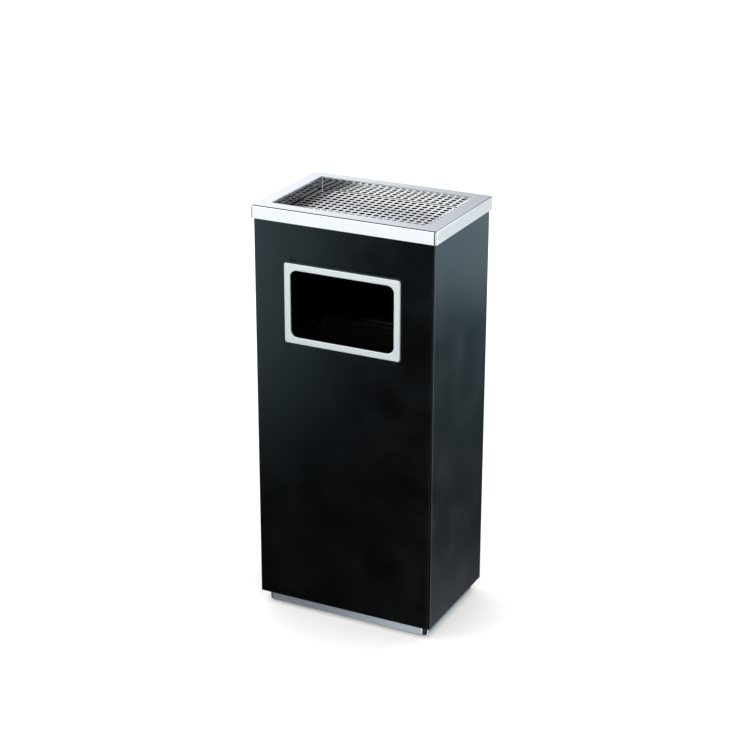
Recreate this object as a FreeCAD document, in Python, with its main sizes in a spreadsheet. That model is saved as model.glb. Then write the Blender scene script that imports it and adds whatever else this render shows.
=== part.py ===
"""Ashtray bin: a rectangular sheet-steel litter bin with a lift-off ashtray top.

A painted cabinet stands on four rubber feet behind a stainless plinth. Its front has a mouth with a
pressed stainless trim, clamped from inside. A polished tray sits over the cabinet's top edge and holds
an ash basin with a lift-out grate. A galvanised liner with a wire bail stands inside.

Millimetres, +Z up, the front faces -Y, and the origin is on the floor under the middle of the bin.
"""
import FreeCAD, Part
import math
import os
import Sketcher

Vector = FreeCAD.Vector
QUARTER = math.pi / 2

DOCUMENT = FreeCAD.newDocument("AshtrayBin")
SHEET = DOCUMENT.addObject("Spreadsheet::Sheet", "Sizes")

SIZES = [
    # Overall, over the polished rim and down to the floor
    ("width", 280.0, "left to right over the rim"),
    ("depth", 190.0, "front to back over the rim"),
    ("height", 610.0, "floor to the top of the rim"),
    # Tray rim, one folded sheet with an outer skirt and an inner lip
    ("rim_wall", 1.0, "sheet of the rim"),
    ("rim_flange", 22.0, "flat top, outer edge to opening"),
    ("rim_skirt", 19.0, "height of the outer skirt"),
    ("rim_overhang", 3.5, "skirt's face past the cabinet's face"),
    ("rim_corner", 4.5, "upright corners of the skirt"),
    ("rim_fold", 1.5, "bend between the flat top and the skirt"),
    ("lip_depth", 4.0, "rim's top to the lip's lower edge"),
    ("opening_corner", 2.5, "corners of the opening"),
    # Ash basin, a box hung outside the lip
    ("basin_wall", 0.8, "sheet of the basin"),
    ("basin_depth", 54.0, "rim's top to the basin's underside"),
    ("basin_fold", 3.0, "bend round the basin's floor, outside"),
    # Grate, a punched plate on four ledges
    ("grate_drop", 18.0, "rim's top to the grate's face"),
    ("grate_wall", 1.5, "grate's plate"),
    ("grate_gap", 1.0, "opening to the grate's edge"),
    ("grate_pitch", 10.8, "hole to hole"),
    ("grate_hole", 7.4, "side of a square hole"),
    ("grate_margin", 3.0, "least solid border"),
    ("grate_corner", 2.0, "corners of the grate"),
    ("ledge_reach", 8.0, "ledge from the basin's wall"),
    ("ledge_drop", 14.0, "ledge's leg along the wall"),
    ("ledge_wide", 18.0, "ledge left to right"),
    ("ledge_wall", 1.2, "ledge's sheet"),
    ("ledge_spacing", 124.0, "left ledge to right ledge"),
    # Cabinet shell, one wrapped sheet with its joint at the back
    ("shell_wall", 1.0, "sheet of the shell"),
    ("shell_bend", 2.5, "upright corners, outside"),
    ("base_lift", 18.0, "floor to the shell's lower edge"),
    ("seam_gap", 0.8, "between the sheet's two ends"),
    ("strip_wide", 40.0, "strip behind the joint"),
    ("strip_wall", 1.2, "strip's sheet"),
    ("strip_gap", 2.0, "strip to the frame above and the pan below"),
    ("seam_rivets", 7.0, "rivets in each column of the joint"),
    ("seam_spacing", 22.0, "column to column"),
    ("seam_end", 14.0, "strip's end to its nearest rivet"),
    # Top frame, an angle inside the shell's upper edge
    ("frame_wall", 1.2, "frame's sheet"),
    ("frame_leg", 10.0, "ledge that the rim rests on"),
    ("frame_drop", 14.0, "leg along the shell"),
    # Base pan, plinth and feet
    ("pan_wall", 1.2, "sheet of the base pan"),
    ("pan_flange", 20.0, "height of the pan's sides"),
    ("plinth_wall", 1.0, "sheet of the plinth"),
    ("plinth_inset", 8.0, "plinth's face behind the shell's face"),
    ("plinth_gap", 2.0, "floor to the plinth's lower edge"),
    ("plinth_corner", 8.0, "upright corners of the plinth"),
    ("plinth_return", 10.0, "plinth's flange under the pan"),
    ("plinth_line", 4.6, "plinth's face to its rivets"),
    ("plinth_spacing", 120.0, "rivet to rivet along the front and back"),
    ("foot_top", 26.0, "foot's upper diameter"),
    ("foot_base", 22.0, "foot's lower diameter"),
    ("foot_bevel", 1.0, "bevel round the foot's lower edge"),
    ("foot_gap", 1.0, "foot to the plinth's flange"),
    ("foot_seat", 9.0, "floor to the seat of the screw's head"),
    # Fasteners
    ("screw_shank", 5.0, "M5 screw"),
    ("screw_head", 9.5, "screw's head, diameter"),
    ("screw_rise", 3.0, "screw's head, height"),
    ("screw_socket", 3.0, "screw's hexagon socket, across flats"),
    ("screw_socket_depth", 2.0, "depth of that socket"),
    ("screw_spare", 1.5, "screw past its nut"),
    ("nut_flats", 8.0, "M5 nut across flats"),
    ("nut_rise", 4.0, "M5 nut, height"),
    ("washer_wide", 12.0, "washer, diameter"),
    ("washer_wall", 1.0, "washer, thickness"),
    ("rivet_shank", 4.0, "rivet, diameter"),
    ("rivet_head", 6.4, "rivet's head, diameter"),
    ("rivet_rise", 1.1, "rivet's head, height"),
    ("rivet_tail", 5.4, "rivet's closed end, diameter"),
    ("stud_shank", 3.0, "M3 weld stud"),
    ("stud_spare", 1.0, "stud past its nut"),
    ("stud_flats", 5.5, "M3 nut across flats"),
    ("stud_nut_rise", 2.4, "M3 nut, height"),
    ("hole_play", 0.2, "hole wider than the fastener in it"),
    # Mouth and its trim
    ("mouth_wide", 157.0, "clear opening, left to right"),
    ("mouth_tall", 96.5, "clear opening, height"),
    ("mouth_sill", 428.5, "floor to the clear opening"),
    ("mouth_corner", 10.0, "corners of the clear opening"),
    ("trim_border", 10.0, "trim's face, opening to outer edge"),
    ("trim_corner", 4.0, "outer corners of the trim"),
    ("trim_wall", 1.0, "sheet of the trim"),
    ("trim_proud", 3.4, "trim's face in front of the shell"),
    ("trim_fold", 1.5, "bend round the trim's face"),
    ("trim_lip", 9.5, "shell's face to the back of the trim's lip"),
    ("trim_play", 0.5, "trim's lip to the hole in the shell"),
    ("backing_wall", 1.2, "sheet of the backing frame"),
    ("backing_inset", 2.0, "backing frame inside the trim's outline"),
    ("stud_line", 4.5, "trim's outer edge to its studs"),
    ("stud_across", 50.0, "middle of the mouth to a stud above or below it"),
    ("stud_up", 28.0, "middle of the mouth to a stud beside it"),
    # Liner
    ("liner_wall", 0.8, "sheet of the liner"),
    ("liner_gap", 2.5, "liner's hem to the top frame's opening"),
    ("liner_drop", 30.0, "mouth's sill to the liner's top"),
    ("liner_corner", 12.0, "upright corners of the liner"),
    ("liner_recess", 10.0, "liner's lower edge to its floor"),
    ("hem_depth", 4.6, "height of the hem rolled over the rim wire"),
    ("wire_shank", 3.0, "rim wire, diameter"),
    ("wire_play", 0.1, "round the rim wire"),
    # Bail and its ears
    ("bail_shank", 5.0, "bail's wire, diameter"),
    ("bail_play", 0.08, "between the wire and its hole, all round"),
    ("bail_drop", 11.0, "liner's top to the bail's pivot"),
    ("bail_bend", 5.0, "bend beside the ear, on the wire's centreline"),
    ("bail_corner", 12.0, "bends beside the hand, on the wire's centreline"),
    ("bail_side", 0.5, "ear to the start of the bend"),
    ("bail_upset", 8.0, "flattened end outside the liner, diameter"),
    ("bail_upset_wall", 1.4, "thickness of that end"),
    ("bail_upset_gap", 0.4, "that end to the liner"),
    ("bail_rest", 0.3, "grip to the hem when folded down"),
    ("grip_shank", 9.0, "grip's sleeve, diameter"),
    ("grip_long", 90.0, "grip's sleeve, length"),
    ("ear_wall", 1.5, "ear's plate"),
    ("ear_wide", 30.0, "ear, front to back"),
    ("ear_tall", 24.0, "ear, height"),
    ("ear_drop", 2.0, "liner's top to the ear's upper edge"),
    ("ear_rivet_out", 9.5, "pivot to an ear rivet, front to back"),
    ("ear_rivet_down", 8.0, "pivot down to the ear rivets"),
]


def fill_sheet():
    """Writes each size to the sheet: its name, its number and what it measures."""
    for row, (alias, number, meaning) in enumerate(SIZES, start=1):
        SHEET.set(f"A{row}", alias)
        SHEET.set(f"B{row}", str(number))
        SHEET.set(f"C{row}", meaning)
        SHEET.setAlias(f"B{row}", alias)
    DOCUMENT.recompute()


def value(text):
    """The number that an expression on the sheet gives."""
    return float(SHEET.evalExpression(text))


# Sizes and places that follow from the sheet. Each is an expression in brackets, so that it can stand
# inside another one. FACE is a distance from the bin's middle plane, WIDE is along X and DEEP along Y.
SHELL_WIDE = "(Sizes.width - 2 * Sizes.rim_overhang)"
SHELL_DEEP = "(Sizes.depth - 2 * Sizes.rim_overhang)"
SHELL_FACE = f"({SHELL_DEEP} / 2)"
SHELL_TOP = "(Sizes.height - Sizes.rim_wall)"
SHELL_TALL = f"({SHELL_TOP} - Sizes.base_lift)"
INSIDE_WIDE = f"({SHELL_WIDE} - 2 * Sizes.shell_wall)"
INSIDE_DEEP = f"({SHELL_DEEP} - 2 * Sizes.shell_wall)"
INSIDE_FACE = f"({INSIDE_DEEP} / 2)"
INSIDE_BEND = "(Sizes.shell_bend - Sizes.shell_wall)"

STRIP_BOTTOM = "(Sizes.base_lift + Sizes.pan_flange + Sizes.strip_gap)"
STRIP_TOP = f"({SHELL_TOP} - Sizes.frame_drop - Sizes.strip_gap)"

FRAME_WIDE = f"({INSIDE_WIDE} - 2 * Sizes.frame_leg)"
FRAME_DEEP = f"({INSIDE_DEEP} - 2 * Sizes.frame_leg)"

PLINTH_WIDE = f"({SHELL_WIDE} - 2 * Sizes.plinth_inset)"
PLINTH_DEEP = f"({SHELL_DEEP} - 2 * Sizes.plinth_inset)"
PAN_TOP = "(Sizes.base_lift + Sizes.pan_wall)"
FOOT_INSET = "(Sizes.plinth_return + Sizes.foot_gap + Sizes.foot_top / 2)"
FOOT_X = f"({PLINTH_WIDE} / 2 - {FOOT_INSET})"
FOOT_Y = f"({PLINTH_DEEP} / 2 - {FOOT_INSET})"

MOUTH_MIDDLE = "(Sizes.mouth_sill + Sizes.mouth_tall / 2)"
LIP_WIDE = "(Sizes.mouth_wide + 2 * Sizes.trim_wall)"
LIP_TALL = "(Sizes.mouth_tall + 2 * Sizes.trim_wall)"
LIP_CORNER = "(Sizes.mouth_corner + Sizes.trim_wall)"
CUT_WIDE = f"({LIP_WIDE} + 2 * Sizes.trim_play)"
CUT_TALL = f"({LIP_TALL} + 2 * Sizes.trim_play)"
CUT_CORNER = f"({LIP_CORNER} + Sizes.trim_play)"
TRIM_WIDE = "(Sizes.mouth_wide + 2 * Sizes.trim_border)"
TRIM_TALL = "(Sizes.mouth_tall + 2 * Sizes.trim_border)"
TRIM_HOLLOW = "(Sizes.trim_proud - Sizes.trim_wall)"
BACKING_FACE = f"({INSIDE_FACE} - Sizes.backing_wall)"

OPENING_WIDE = "(Sizes.width - 2 * Sizes.rim_flange)"
OPENING_DEEP = "(Sizes.depth - 2 * Sizes.rim_flange)"
BASIN_WIDE = f"({OPENING_WIDE} + 2 * Sizes.rim_wall)"
BASIN_DEEP = f"({OPENING_DEEP} + 2 * Sizes.rim_wall)"
BASIN_CORNER = "(Sizes.opening_corner + Sizes.rim_wall)"
BASIN_BOTTOM = "(Sizes.height - Sizes.basin_depth)"
GRATE_WIDE = f"({OPENING_WIDE} - 2 * Sizes.grate_gap)"
GRATE_DEEP = f"({OPENING_DEEP} - 2 * Sizes.grate_gap)"
GRATE_BOTTOM = "(Sizes.height - Sizes.grate_drop - Sizes.grate_wall)"

LINER_BASE = PAN_TOP
LINER_TOP = "(Sizes.mouth_sill - Sizes.liner_drop)"
HEM_BORE = "(Sizes.wire_shank + 2 * Sizes.wire_play)"
HEM_WIDE = f"({FRAME_WIDE} - 2 * Sizes.liner_gap)"
HEM_DEEP = f"({FRAME_DEEP} - 2 * Sizes.liner_gap)"
LINER_WIDE = f"({HEM_WIDE} - 2 * {HEM_BORE} - 2 * Sizes.liner_wall)"
LINER_DEEP = f"({HEM_DEEP} - 2 * {HEM_BORE} - 2 * Sizes.liner_wall)"
LINER_FACE = f"({LINER_WIDE} / 2)"
EAR_FACE = f"({LINER_FACE} - Sizes.liner_wall)"
PIVOT_Z = f"({LINER_TOP} - Sizes.bail_drop)"
BAIL_HOLE = "(Sizes.bail_shank + 2 * Sizes.bail_play)"
LEG_X = f"({EAR_FACE} - Sizes.ear_wall - Sizes.bail_side - Sizes.bail_bend)"
BAR_OUT = f"({HEM_DEEP} / 2 - Sizes.grip_shank / 2)"
BAR_UP = "(Sizes.bail_drop + Sizes.grip_shank / 2 + Sizes.bail_rest)"
BAIL_REACH = f"sqrt({BAR_OUT} * {BAR_OUT} + {BAR_UP} * {BAR_UP})"
BAIL_TILT = f"atan({BAR_UP} / {BAR_OUT})"

RIVET_HOLE = "(Sizes.rivet_shank + Sizes.hole_play)"
SCREW_HOLE = "(Sizes.screw_shank + Sizes.hole_play)"
STUD_HOLE = "(Sizes.stud_shank + Sizes.hole_play)"

FOUR_CORNERS = [(-1, -1), (1, -1), (1, 1), (-1, 1)]


# --- helpers -----------------------------------------------------------------------------------------


def origin_part(body, role):
    """One of the body's own origin planes or axes."""
    return next(item for item in body.Origin.OriginFeatures if item.Role == role)


def new_body(name):
    """A body for one sub-part. Its label names the file, and it may hold several separate solids."""
    body = DOCUMENT.addObject("PartDesign::Body", name)
    body.Label = name
    body.AllowCompound = True
    return body


def new_sketch(body, name, plane, shift_x="0", shift_y="0", lift="0"):
    """A sketch on an origin plane, moved in the plane and lifted along the plane's normal.

    XY lifts along +Z. XZ has the sketch's y along Z and lifts along -Y. YZ has x along Y and lifts
    along +X.
    """
    sketch = body.newObject("Sketcher::SketchObject", name)
    sketch.AttachmentSupport = (origin_part(body, plane + "_Plane"), [""])
    sketch.MapMode = "FlatFace"
    for axis, text in (("x", shift_x), ("y", shift_y), ("z", lift)):
        if text != "0":
            sketch.setExpression("AttachmentOffset.Base." + axis, text)
    return sketch


def hold(sketch, kind, *where_and_size):
    """A dimension of the sketch, bound to an expression given last."""
    *where, text = where_and_size
    index = sketch.addConstraint(Sketcher.Constraint(kind, *where, value(text)))
    sketch.setExpression(f"Constraints[{index}]", text)


def draw_outline(sketch, points):
    """A closed outline of straight sides, each corner held at its x and y from the sketch's origin."""
    spots = [Vector(value(across), value(along), 0) for across, along in points]
    count = len(spots)
    first = sketch.GeometryCount
    sketch.addGeometry([Part.LineSegment(spots[i], spots[(i + 1) % count]) for i in range(count)], False)
    for i, (across, along) in enumerate(points):
        sketch.addConstraint(Sketcher.Constraint("Coincident", first + i, 2, first + (i + 1) % count, 1))
        hold(sketch, "DistanceX", first + i, 1, across)
        hold(sketch, "DistanceY", first + i, 1, along)


def draw_rectangle(sketch, wide, tall):
    """A rectangle with sharp corners, centred on the sketch's origin."""
    draw_outline(sketch, [(f"{i} * {wide} / 2", f"{j} * {tall} / 2") for i, j in FOUR_CORNERS])


def draw_rounded(sketch, wide, tall, corner):
    """A rectangle with round corners, centred on the sketch's origin: four sides, then four arcs."""
    half_w, half_h, r = value(wide) / 2, value(tall) / 2, value(corner)
    first = sketch.GeometryCount
    ends = [
        ((r - half_w, -half_h), (half_w - r, -half_h)),
        ((half_w, r - half_h), (half_w, half_h - r)),
        ((half_w - r, half_h), (r - half_w, half_h)),
        ((-half_w, half_h - r), (-half_w, r - half_h)),
    ]
    sketch.addGeometry([Part.LineSegment(Vector(*a, 0), Vector(*b, 0)) for a, b in ends], False)
    for turn, (i, j) in enumerate([(1, -1), (1, 1), (-1, 1), (-1, -1)]):
        corner_circle = Part.Circle(Vector(i * (half_w - r), j * (half_h - r), 0), Vector(0, 0, 1), r)
        arc = Part.ArcOfCircle(corner_circle, (turn - 1) * QUARTER, turn * QUARTER)
        sketch.addGeometry(arc, False)
    sides, arcs = range(first, first + 4), range(first + 4, first + 8)
    for turn in range(4):
        sketch.addConstraint(Sketcher.Constraint("Tangent", sides[turn], 2, arcs[turn], 1))
        sketch.addConstraint(Sketcher.Constraint("Tangent", arcs[turn], 2, sides[(turn + 1) % 4], 1))
    for side, kind in zip(sides, ("Horizontal", "Vertical", "Horizontal", "Vertical")):
        sketch.addConstraint(Sketcher.Constraint(kind, side))
    for arc in arcs[1:]:
        sketch.addConstraint(Sketcher.Constraint("Equal", arcs[0], arc))
    sketch.addConstraint(Sketcher.Constraint("Symmetric", arcs[0], 3, arcs[2], 3, -1, 1))
    hold(sketch, "Radius", arcs[0], corner)
    hold(sketch, "DistanceX", sides[3], 1, sides[1], 1, wide)
    hold(sketch, "DistanceY", sides[0], 1, sides[2], 1, tall)


def draw_circles(sketch, diameter, spots):
    """Equal circles at the given places."""
    for across, along in spots:
        index = sketch.GeometryCount
        middle = Vector(value(across), value(along), 0)
        sketch.addGeometry(Part.Circle(middle, Vector(0, 0, 1), value(diameter) / 2), False)
        hold(sketch, "Diameter", index, diameter)
        hold(sketch, "DistanceX", index, 3, across)
        hold(sketch, "DistanceY", index, 3, along)


def draw_hexagons(sketch, flats, spots):
    """Equal hexagons at the given places, with a flat above and below."""
    point_x = f"({flats} / 2 / cos(30))"
    shape = [(0.5, 1), (-0.5, 1), (-1, 0), (-0.5, -1), (0.5, -1), (1, 0)]
    for across, along in spots:
        corners = [(f"{across} + {i} * {point_x}", f"{along} + {j} * {flats} / 2") for i, j in shape]
        draw_outline(sketch, corners)


def add_pad(body, name, sketch, length, reverse=False):
    """Adds material on the side that the sketch's plane faces, or behind it."""
    pad = body.newObject("PartDesign::Pad", name)
    pad.Profile = sketch
    pad.setExpression("Length", length)
    pad.Reversed = reverse
    DOCUMENT.recompute()
    return pad


def add_pocket(body, name, sketch, length=None, reverse=False):
    """Cuts behind the sketch's plane, or in front of it; with no length, right through both ways."""
    before = body.Shape.Volume
    pocket = body.newObject("PartDesign::Pocket", name)
    pocket.Profile = sketch
    if length is None:
        pocket.Type = "ThroughAll"
        pocket.Midplane = True
    else:
        pocket.setExpression("Length", length)
        pocket.Reversed = reverse
    DOCUMENT.recompute()
    if not pocket.Shape.Volume < before:
        raise RuntimeError(f"{body.Label}: {name} cuts nothing")
    return pocket


def add_fillet(body, name, radius, choose):
    """Rounds the edges that choose picks from the body's last feature."""
    base = body.Tip
    picked = [f"Edge{i}" for i, edge in enumerate(base.Shape.Edges, start=1) if choose(edge.BoundBox)]
    if not picked:
        raise RuntimeError(f"{body.Label}: {name} finds no edge")
    fillet = body.newObject("PartDesign::Fillet", name)
    fillet.Base = (base, picked)
    fillet.setExpression("Radius", radius)
    DOCUMENT.recompute()
    return fillet


def at_height(box, height):
    """True for an edge that lies level at this height."""
    return box.ZLength < 1e-3 and abs(box.ZMin - value(height)) < 1e-3


def add_patterns(body, name, feature, steps):
    """Repeats a feature with mirrors and rows, given as (kind, origin part, length, count)."""
    pattern = body.newObject("PartDesign::MultiTransform", name)
    pattern.Originals = [feature]
    made = []
    for kind, role, length, count in steps:
        step = body.newObject("PartDesign::" + kind, f"{name}_{role[0].lower()}")
        if kind == "Mirrored":
            step.MirrorPlane = (origin_part(body, role), [""])
        else:
            step.Direction = (origin_part(body, role), [""])
            step.setExpression("Length", length)
            step.setExpression("Occurrences", count)
        made.append(step)
    pattern.Transformations = made
    body.Tip = pattern
    DOCUMENT.recompute()
    return pattern


def add_ring(body, name, lift, tall, outer, inner, holes=None):
    """A level ring between two round-cornered rectangles, each (wide, deep, corner)."""
    sketch = new_sketch(body, name + "_plan", "XY", lift=lift)
    draw_rounded(sketch, *outer)
    draw_rounded(sketch, *inner)
    if holes:
        draw_circles(sketch, *holes)
    return add_pad(body, name, sketch, tall)


def shrink(plan, by):
    """A round-cornered rectangle moved inwards by a wall, or outwards by a minus one."""
    wide, deep, corner = plan
    return f"({wide} - 2 * {by})", f"({deep} - 2 * {by})", f"({corner} - {by})"


def add_fastener(body, plane, spots, parts):
    """Round fasteners square to a plane, built from (name, diameter, start, length, reverse) lengths."""
    for name, diameter, start, length, reverse in parts:
        sketch = new_sketch(body, name + "_plan", plane, lift=start)
        draw_circles(sketch, diameter, spots)
        add_pad(body, name, sketch, length, reverse)


# --- cabinet -----------------------------------------------------------------------------------------


def seam_spots():
    """Rivets of the back joint, as X and Z: two columns of evenly spaced rows."""
    rows = int(value("Sizes.seam_rivets"))
    low = f"({STRIP_BOTTOM} + Sizes.seam_end)"
    high = f"({STRIP_TOP} - Sizes.seam_end)"
    heights = [f"({low} + {row} * ({high} - {low}) / {rows - 1})" for row in range(rows)]
    return [(f"{side} * Sizes.seam_spacing / 2", height) for side in (-1, 1) for height in heights]


def stud_spots():
    """Trim studs about the middle of the mouth: two above, two below and two on each side."""
    line_x = f"({TRIM_WIDE} / 2 - Sizes.stud_line)"
    line_y = f"({TRIM_TALL} / 2 - Sizes.stud_line)"
    level = [(f"{i} * Sizes.stud_across", f"{j} * {line_y}") for i, j in FOUR_CORNERS]
    upright = [(f"{i} * {line_x}", f"{j} * Sizes.stud_up") for i, j in FOUR_CORNERS]
    return level + upright


def foot_spots():
    """Places of the four feet, as X and Y."""
    return [(f"{i} * {FOOT_X}", f"{j} * {FOOT_Y}") for i, j in FOUR_CORNERS]


def plinth_spots():
    """Rivets of the plinth's flange: two along the front, two along the back and one at each end."""
    line_x = f"({PLINTH_WIDE} / 2 - Sizes.plinth_line)"
    line_y = f"({PLINTH_DEEP} / 2 - Sizes.plinth_line)"
    long_sides = [(f"{i} * Sizes.plinth_spacing / 2", f"{j} * {line_y}") for i, j in FOUR_CORNERS]
    return long_sides + [(f"{i} * {line_x}", "0") for i in (-1, 1)]


def make_body_shell():
    """The wrapped sheet: open at the top and bottom, butted at the back, with the mouth cut in front."""
    body = new_body("body_shell")
    outer = (SHELL_WIDE, SHELL_DEEP, "Sizes.shell_bend")
    add_ring(body, "wrap", "Sizes.base_lift", SHELL_TALL, outer, shrink(outer, "Sizes.shell_wall"))
    mouth = new_sketch(body, "mouth_plan", "XZ", shift_y=MOUTH_MIDDLE, lift=SHELL_FACE)
    draw_rounded(mouth, CUT_WIDE, CUT_TALL, CUT_CORNER)
    draw_circles(mouth, STUD_HOLE, stud_spots())
    add_pocket(body, "mouth", mouth, "2 * Sizes.shell_wall")
    rivets = new_sketch(body, "rivet_plan", "XZ", lift="-" + SHELL_FACE)
    draw_circles(rivets, RIVET_HOLE, seam_spots())
    add_pocket(body, "rivet_holes", rivets, "2 * Sizes.shell_wall", reverse=True)
    middle = f"(Sizes.base_lift + {SHELL_TALL} / 2)"
    seam = new_sketch(body, "seam_plan", "XZ", shift_y=middle, lift="-" + SHELL_FACE)
    draw_rectangle(seam, "Sizes.seam_gap", SHELL_TALL)
    add_pocket(body, "seam", seam, "2 * Sizes.shell_wall", reverse=True)


def make_back_seam():
    """The strip that backs the shell's butt joint, and the rivets through both."""
    strip = new_body("back_seam_strip")
    plan = new_sketch(strip, "strip_plan", "XZ", lift="-" + INSIDE_FACE)
    half = "Sizes.strip_wide / 2"
    corners = [("-" + half, STRIP_BOTTOM), (half, STRIP_BOTTOM), (half, STRIP_TOP), ("-" + half, STRIP_TOP)]
    draw_outline(plan, corners)
    draw_circles(plan, RIVET_HOLE, seam_spots())
    add_pad(strip, "strip", plan, "Sizes.strip_wall")

    rivets = new_body("seam_rivets")
    strip_face = f"(Sizes.strip_wall - {INSIDE_FACE})"
    parts = [
        ("head", "Sizes.rivet_head", "-" + SHELL_FACE, "Sizes.rivet_rise", True),
        ("shank", "Sizes.rivet_shank", "-" + SHELL_FACE, "(Sizes.shell_wall + Sizes.strip_wall)", False),
        ("tail", "Sizes.rivet_tail", strip_face, "Sizes.rivet_rise", False),
    ]
    add_fastener(rivets, "XZ", seam_spots(), parts)


def make_top_frame():
    """The angle inside the shell's upper edge: a leg on the shell and a ledge under the rim."""
    body = new_body("top_frame")
    outer = (INSIDE_WIDE, INSIDE_DEEP, INSIDE_BEND)
    leg_bottom = f"({SHELL_TOP} - Sizes.frame_drop)"
    ledge_bottom = f"({SHELL_TOP} - Sizes.frame_wall)"
    add_ring(body, "leg", leg_bottom, "Sizes.frame_drop", outer, shrink(outer, "Sizes.frame_wall"))
    opening = (FRAME_WIDE, FRAME_DEEP, INSIDE_BEND)
    add_ring(body, "ledge", ledge_bottom, "Sizes.frame_wall", outer, opening)


def make_base_pan():
    """The shell's floor, turned up along its sides, with holes for the feet and the plinth."""
    body = new_body("base_pan")
    outer = (INSIDE_WIDE, INSIDE_DEEP, INSIDE_BEND)
    floor = new_sketch(body, "floor_plan", "XY", lift="Sizes.base_lift")
    draw_rounded(floor, *outer)
    draw_circles(floor, SCREW_HOLE, foot_spots())
    draw_circles(floor, RIVET_HOLE, plinth_spots())
    add_pad(body, "floor", floor, "Sizes.pan_wall")
    add_ring(body, "sides", "Sizes.base_lift", "Sizes.pan_flange", outer, shrink(outer, "Sizes.pan_wall"))


def make_plinth():
    """The stainless band under the shell, with a flange turned in under the pan, and its rivets."""
    band = new_body("plinth_band")
    outer = (PLINTH_WIDE, PLINTH_DEEP, "Sizes.plinth_corner")
    band_tall = "(Sizes.base_lift - Sizes.plinth_gap)"
    flange_bottom = "(Sizes.base_lift - Sizes.plinth_wall)"
    add_ring(band, "band", "Sizes.plinth_gap", band_tall, outer, shrink(outer, "Sizes.plinth_wall"))
    opening = (
        f"({PLINTH_WIDE} - 2 * Sizes.plinth_return)",
        f"({PLINTH_DEEP} - 2 * Sizes.plinth_return)",
        "Sizes.plinth_wall",
    )
    holes = (RIVET_HOLE, plinth_spots())
    add_ring(band, "flange", flange_bottom, "Sizes.plinth_wall", outer, opening, holes)

    rivets = new_body("plinth_rivets")
    grip = "(Sizes.plinth_wall + Sizes.pan_wall)"
    parts = [
        ("head", "Sizes.rivet_head", flange_bottom, "Sizes.rivet_rise", True),
        ("shank", "Sizes.rivet_shank", flange_bottom, grip, False),
        ("tail", "Sizes.rivet_tail", PAN_TOP, "Sizes.rivet_rise", False),
    ]
    add_fastener(rivets, "XY", plinth_spots(), parts)


def make_feet():
    """Four turned rubber feet, each with a deep seat for its screw's head."""
    names = ["foot_front_left", "foot_front_right", "foot_back_right", "foot_back_left"]
    bore = f"({SCREW_HOLE} / 2)"
    seat = "((Sizes.washer_wide + Sizes.hole_play) / 2)"
    base = "(Sizes.foot_base / 2)"
    section = [
        (bore, "Sizes.base_lift"),
        (bore, "Sizes.foot_seat"),
        (seat, "Sizes.foot_seat"),
        (seat, "0"),
        (f"{base} - Sizes.foot_bevel", "0"),
        (base, "Sizes.foot_bevel"),
        ("Sizes.foot_top / 2", "Sizes.base_lift"),
    ]
    for name, (i, j) in zip(names, FOUR_CORNERS):
        body = new_body(name)
        sketch = new_sketch(body, "section", "XZ", shift_x=f"{i} * {FOOT_X}", lift=f"{-j} * {FOOT_Y}")
        draw_outline(sketch, section)
        turned = body.newObject("PartDesign::Revolution", "turned")
        turned.Profile = sketch
        turned.ReferenceAxis = (sketch, ["V_Axis"])
        turned.Angle = 360
    DOCUMENT.recompute()


def make_foot_fasteners():
    """Screws up through the feet and the pan, with washers and nuts inside the bin."""
    spots = foot_spots()
    washer_top = f"({PAN_TOP} + Sizes.washer_wall)"
    nut_top = f"({washer_top} + Sizes.nut_rise)"
    shank_long = f"({nut_top} + Sizes.screw_spare - Sizes.foot_seat)"

    screws = new_body("foot_screws")
    parts = [
        ("head", "Sizes.screw_head", "Sizes.foot_seat", "Sizes.screw_rise", True),
        ("shank", "Sizes.screw_shank", "Sizes.foot_seat", shank_long, False),
    ]
    add_fastener(screws, "XY", spots, parts)
    socket = new_sketch(screws, "socket_plan", "XY", lift="Sizes.foot_seat - Sizes.screw_rise")
    draw_hexagons(socket, "Sizes.screw_socket", spots)
    add_pocket(screws, "socket", socket, "Sizes.screw_socket_depth", reverse=True)

    washers = new_body("foot_washers")
    plan = new_sketch(washers, "washer_plan", "XY", lift=PAN_TOP)
    draw_circles(plan, "Sizes.washer_wide", spots)
    draw_circles(plan, SCREW_HOLE, spots)
    add_pad(washers, "washer", plan, "Sizes.washer_wall")

    nuts = new_body("foot_nuts")
    plan = new_sketch(nuts, "nut_plan", "XY", lift=washer_top)
    draw_hexagons(plan, "Sizes.nut_flats", spots)
    draw_circles(plan, "Sizes.screw_shank", spots)
    add_pad(nuts, "nut", plan, "Sizes.nut_rise")


# --- mouth -------------------------------------------------------------------------------------------


def mouth_ring(body, name, lift, length, outer, inner, reverse=False, cut=False):
    """An upright ring round the mouth between two round-cornered rectangles, added or cut."""
    sketch = new_sketch(body, name + "_plan", "XZ", shift_y=MOUTH_MIDDLE, lift=lift)
    draw_rounded(sketch, *outer)
    draw_rounded(sketch, *inner)
    make = add_pocket if cut else add_pad
    return make(body, name, sketch, length, reverse)


def make_opening_trim():
    """The pressed frame round the mouth: a hollow face on the shell and a lip back through it."""
    body = new_body("opening_trim")
    outer = (TRIM_WIDE, TRIM_TALL, "Sizes.trim_corner")
    clear = ("Sizes.mouth_wide", "Sizes.mouth_tall", "Sizes.mouth_corner")
    lip = (LIP_WIDE, LIP_TALL, LIP_CORNER)
    mouth_ring(body, "face", SHELL_FACE, "Sizes.trim_proud", outer, clear)
    hollow = shrink(outer, "Sizes.trim_wall")
    mouth_ring(body, "hollow", SHELL_FACE, TRIM_HOLLOW, hollow, lip, reverse=True, cut=True)
    mouth_ring(body, "lip", SHELL_FACE, "Sizes.trim_lip", lip, clear, reverse=True)
    front = -value(f"{SHELL_FACE} + Sizes.trim_proud")
    add_fillet(body, "bends", "Sizes.trim_fold", lambda box: box.YMax < front + 1e-3)


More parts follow.
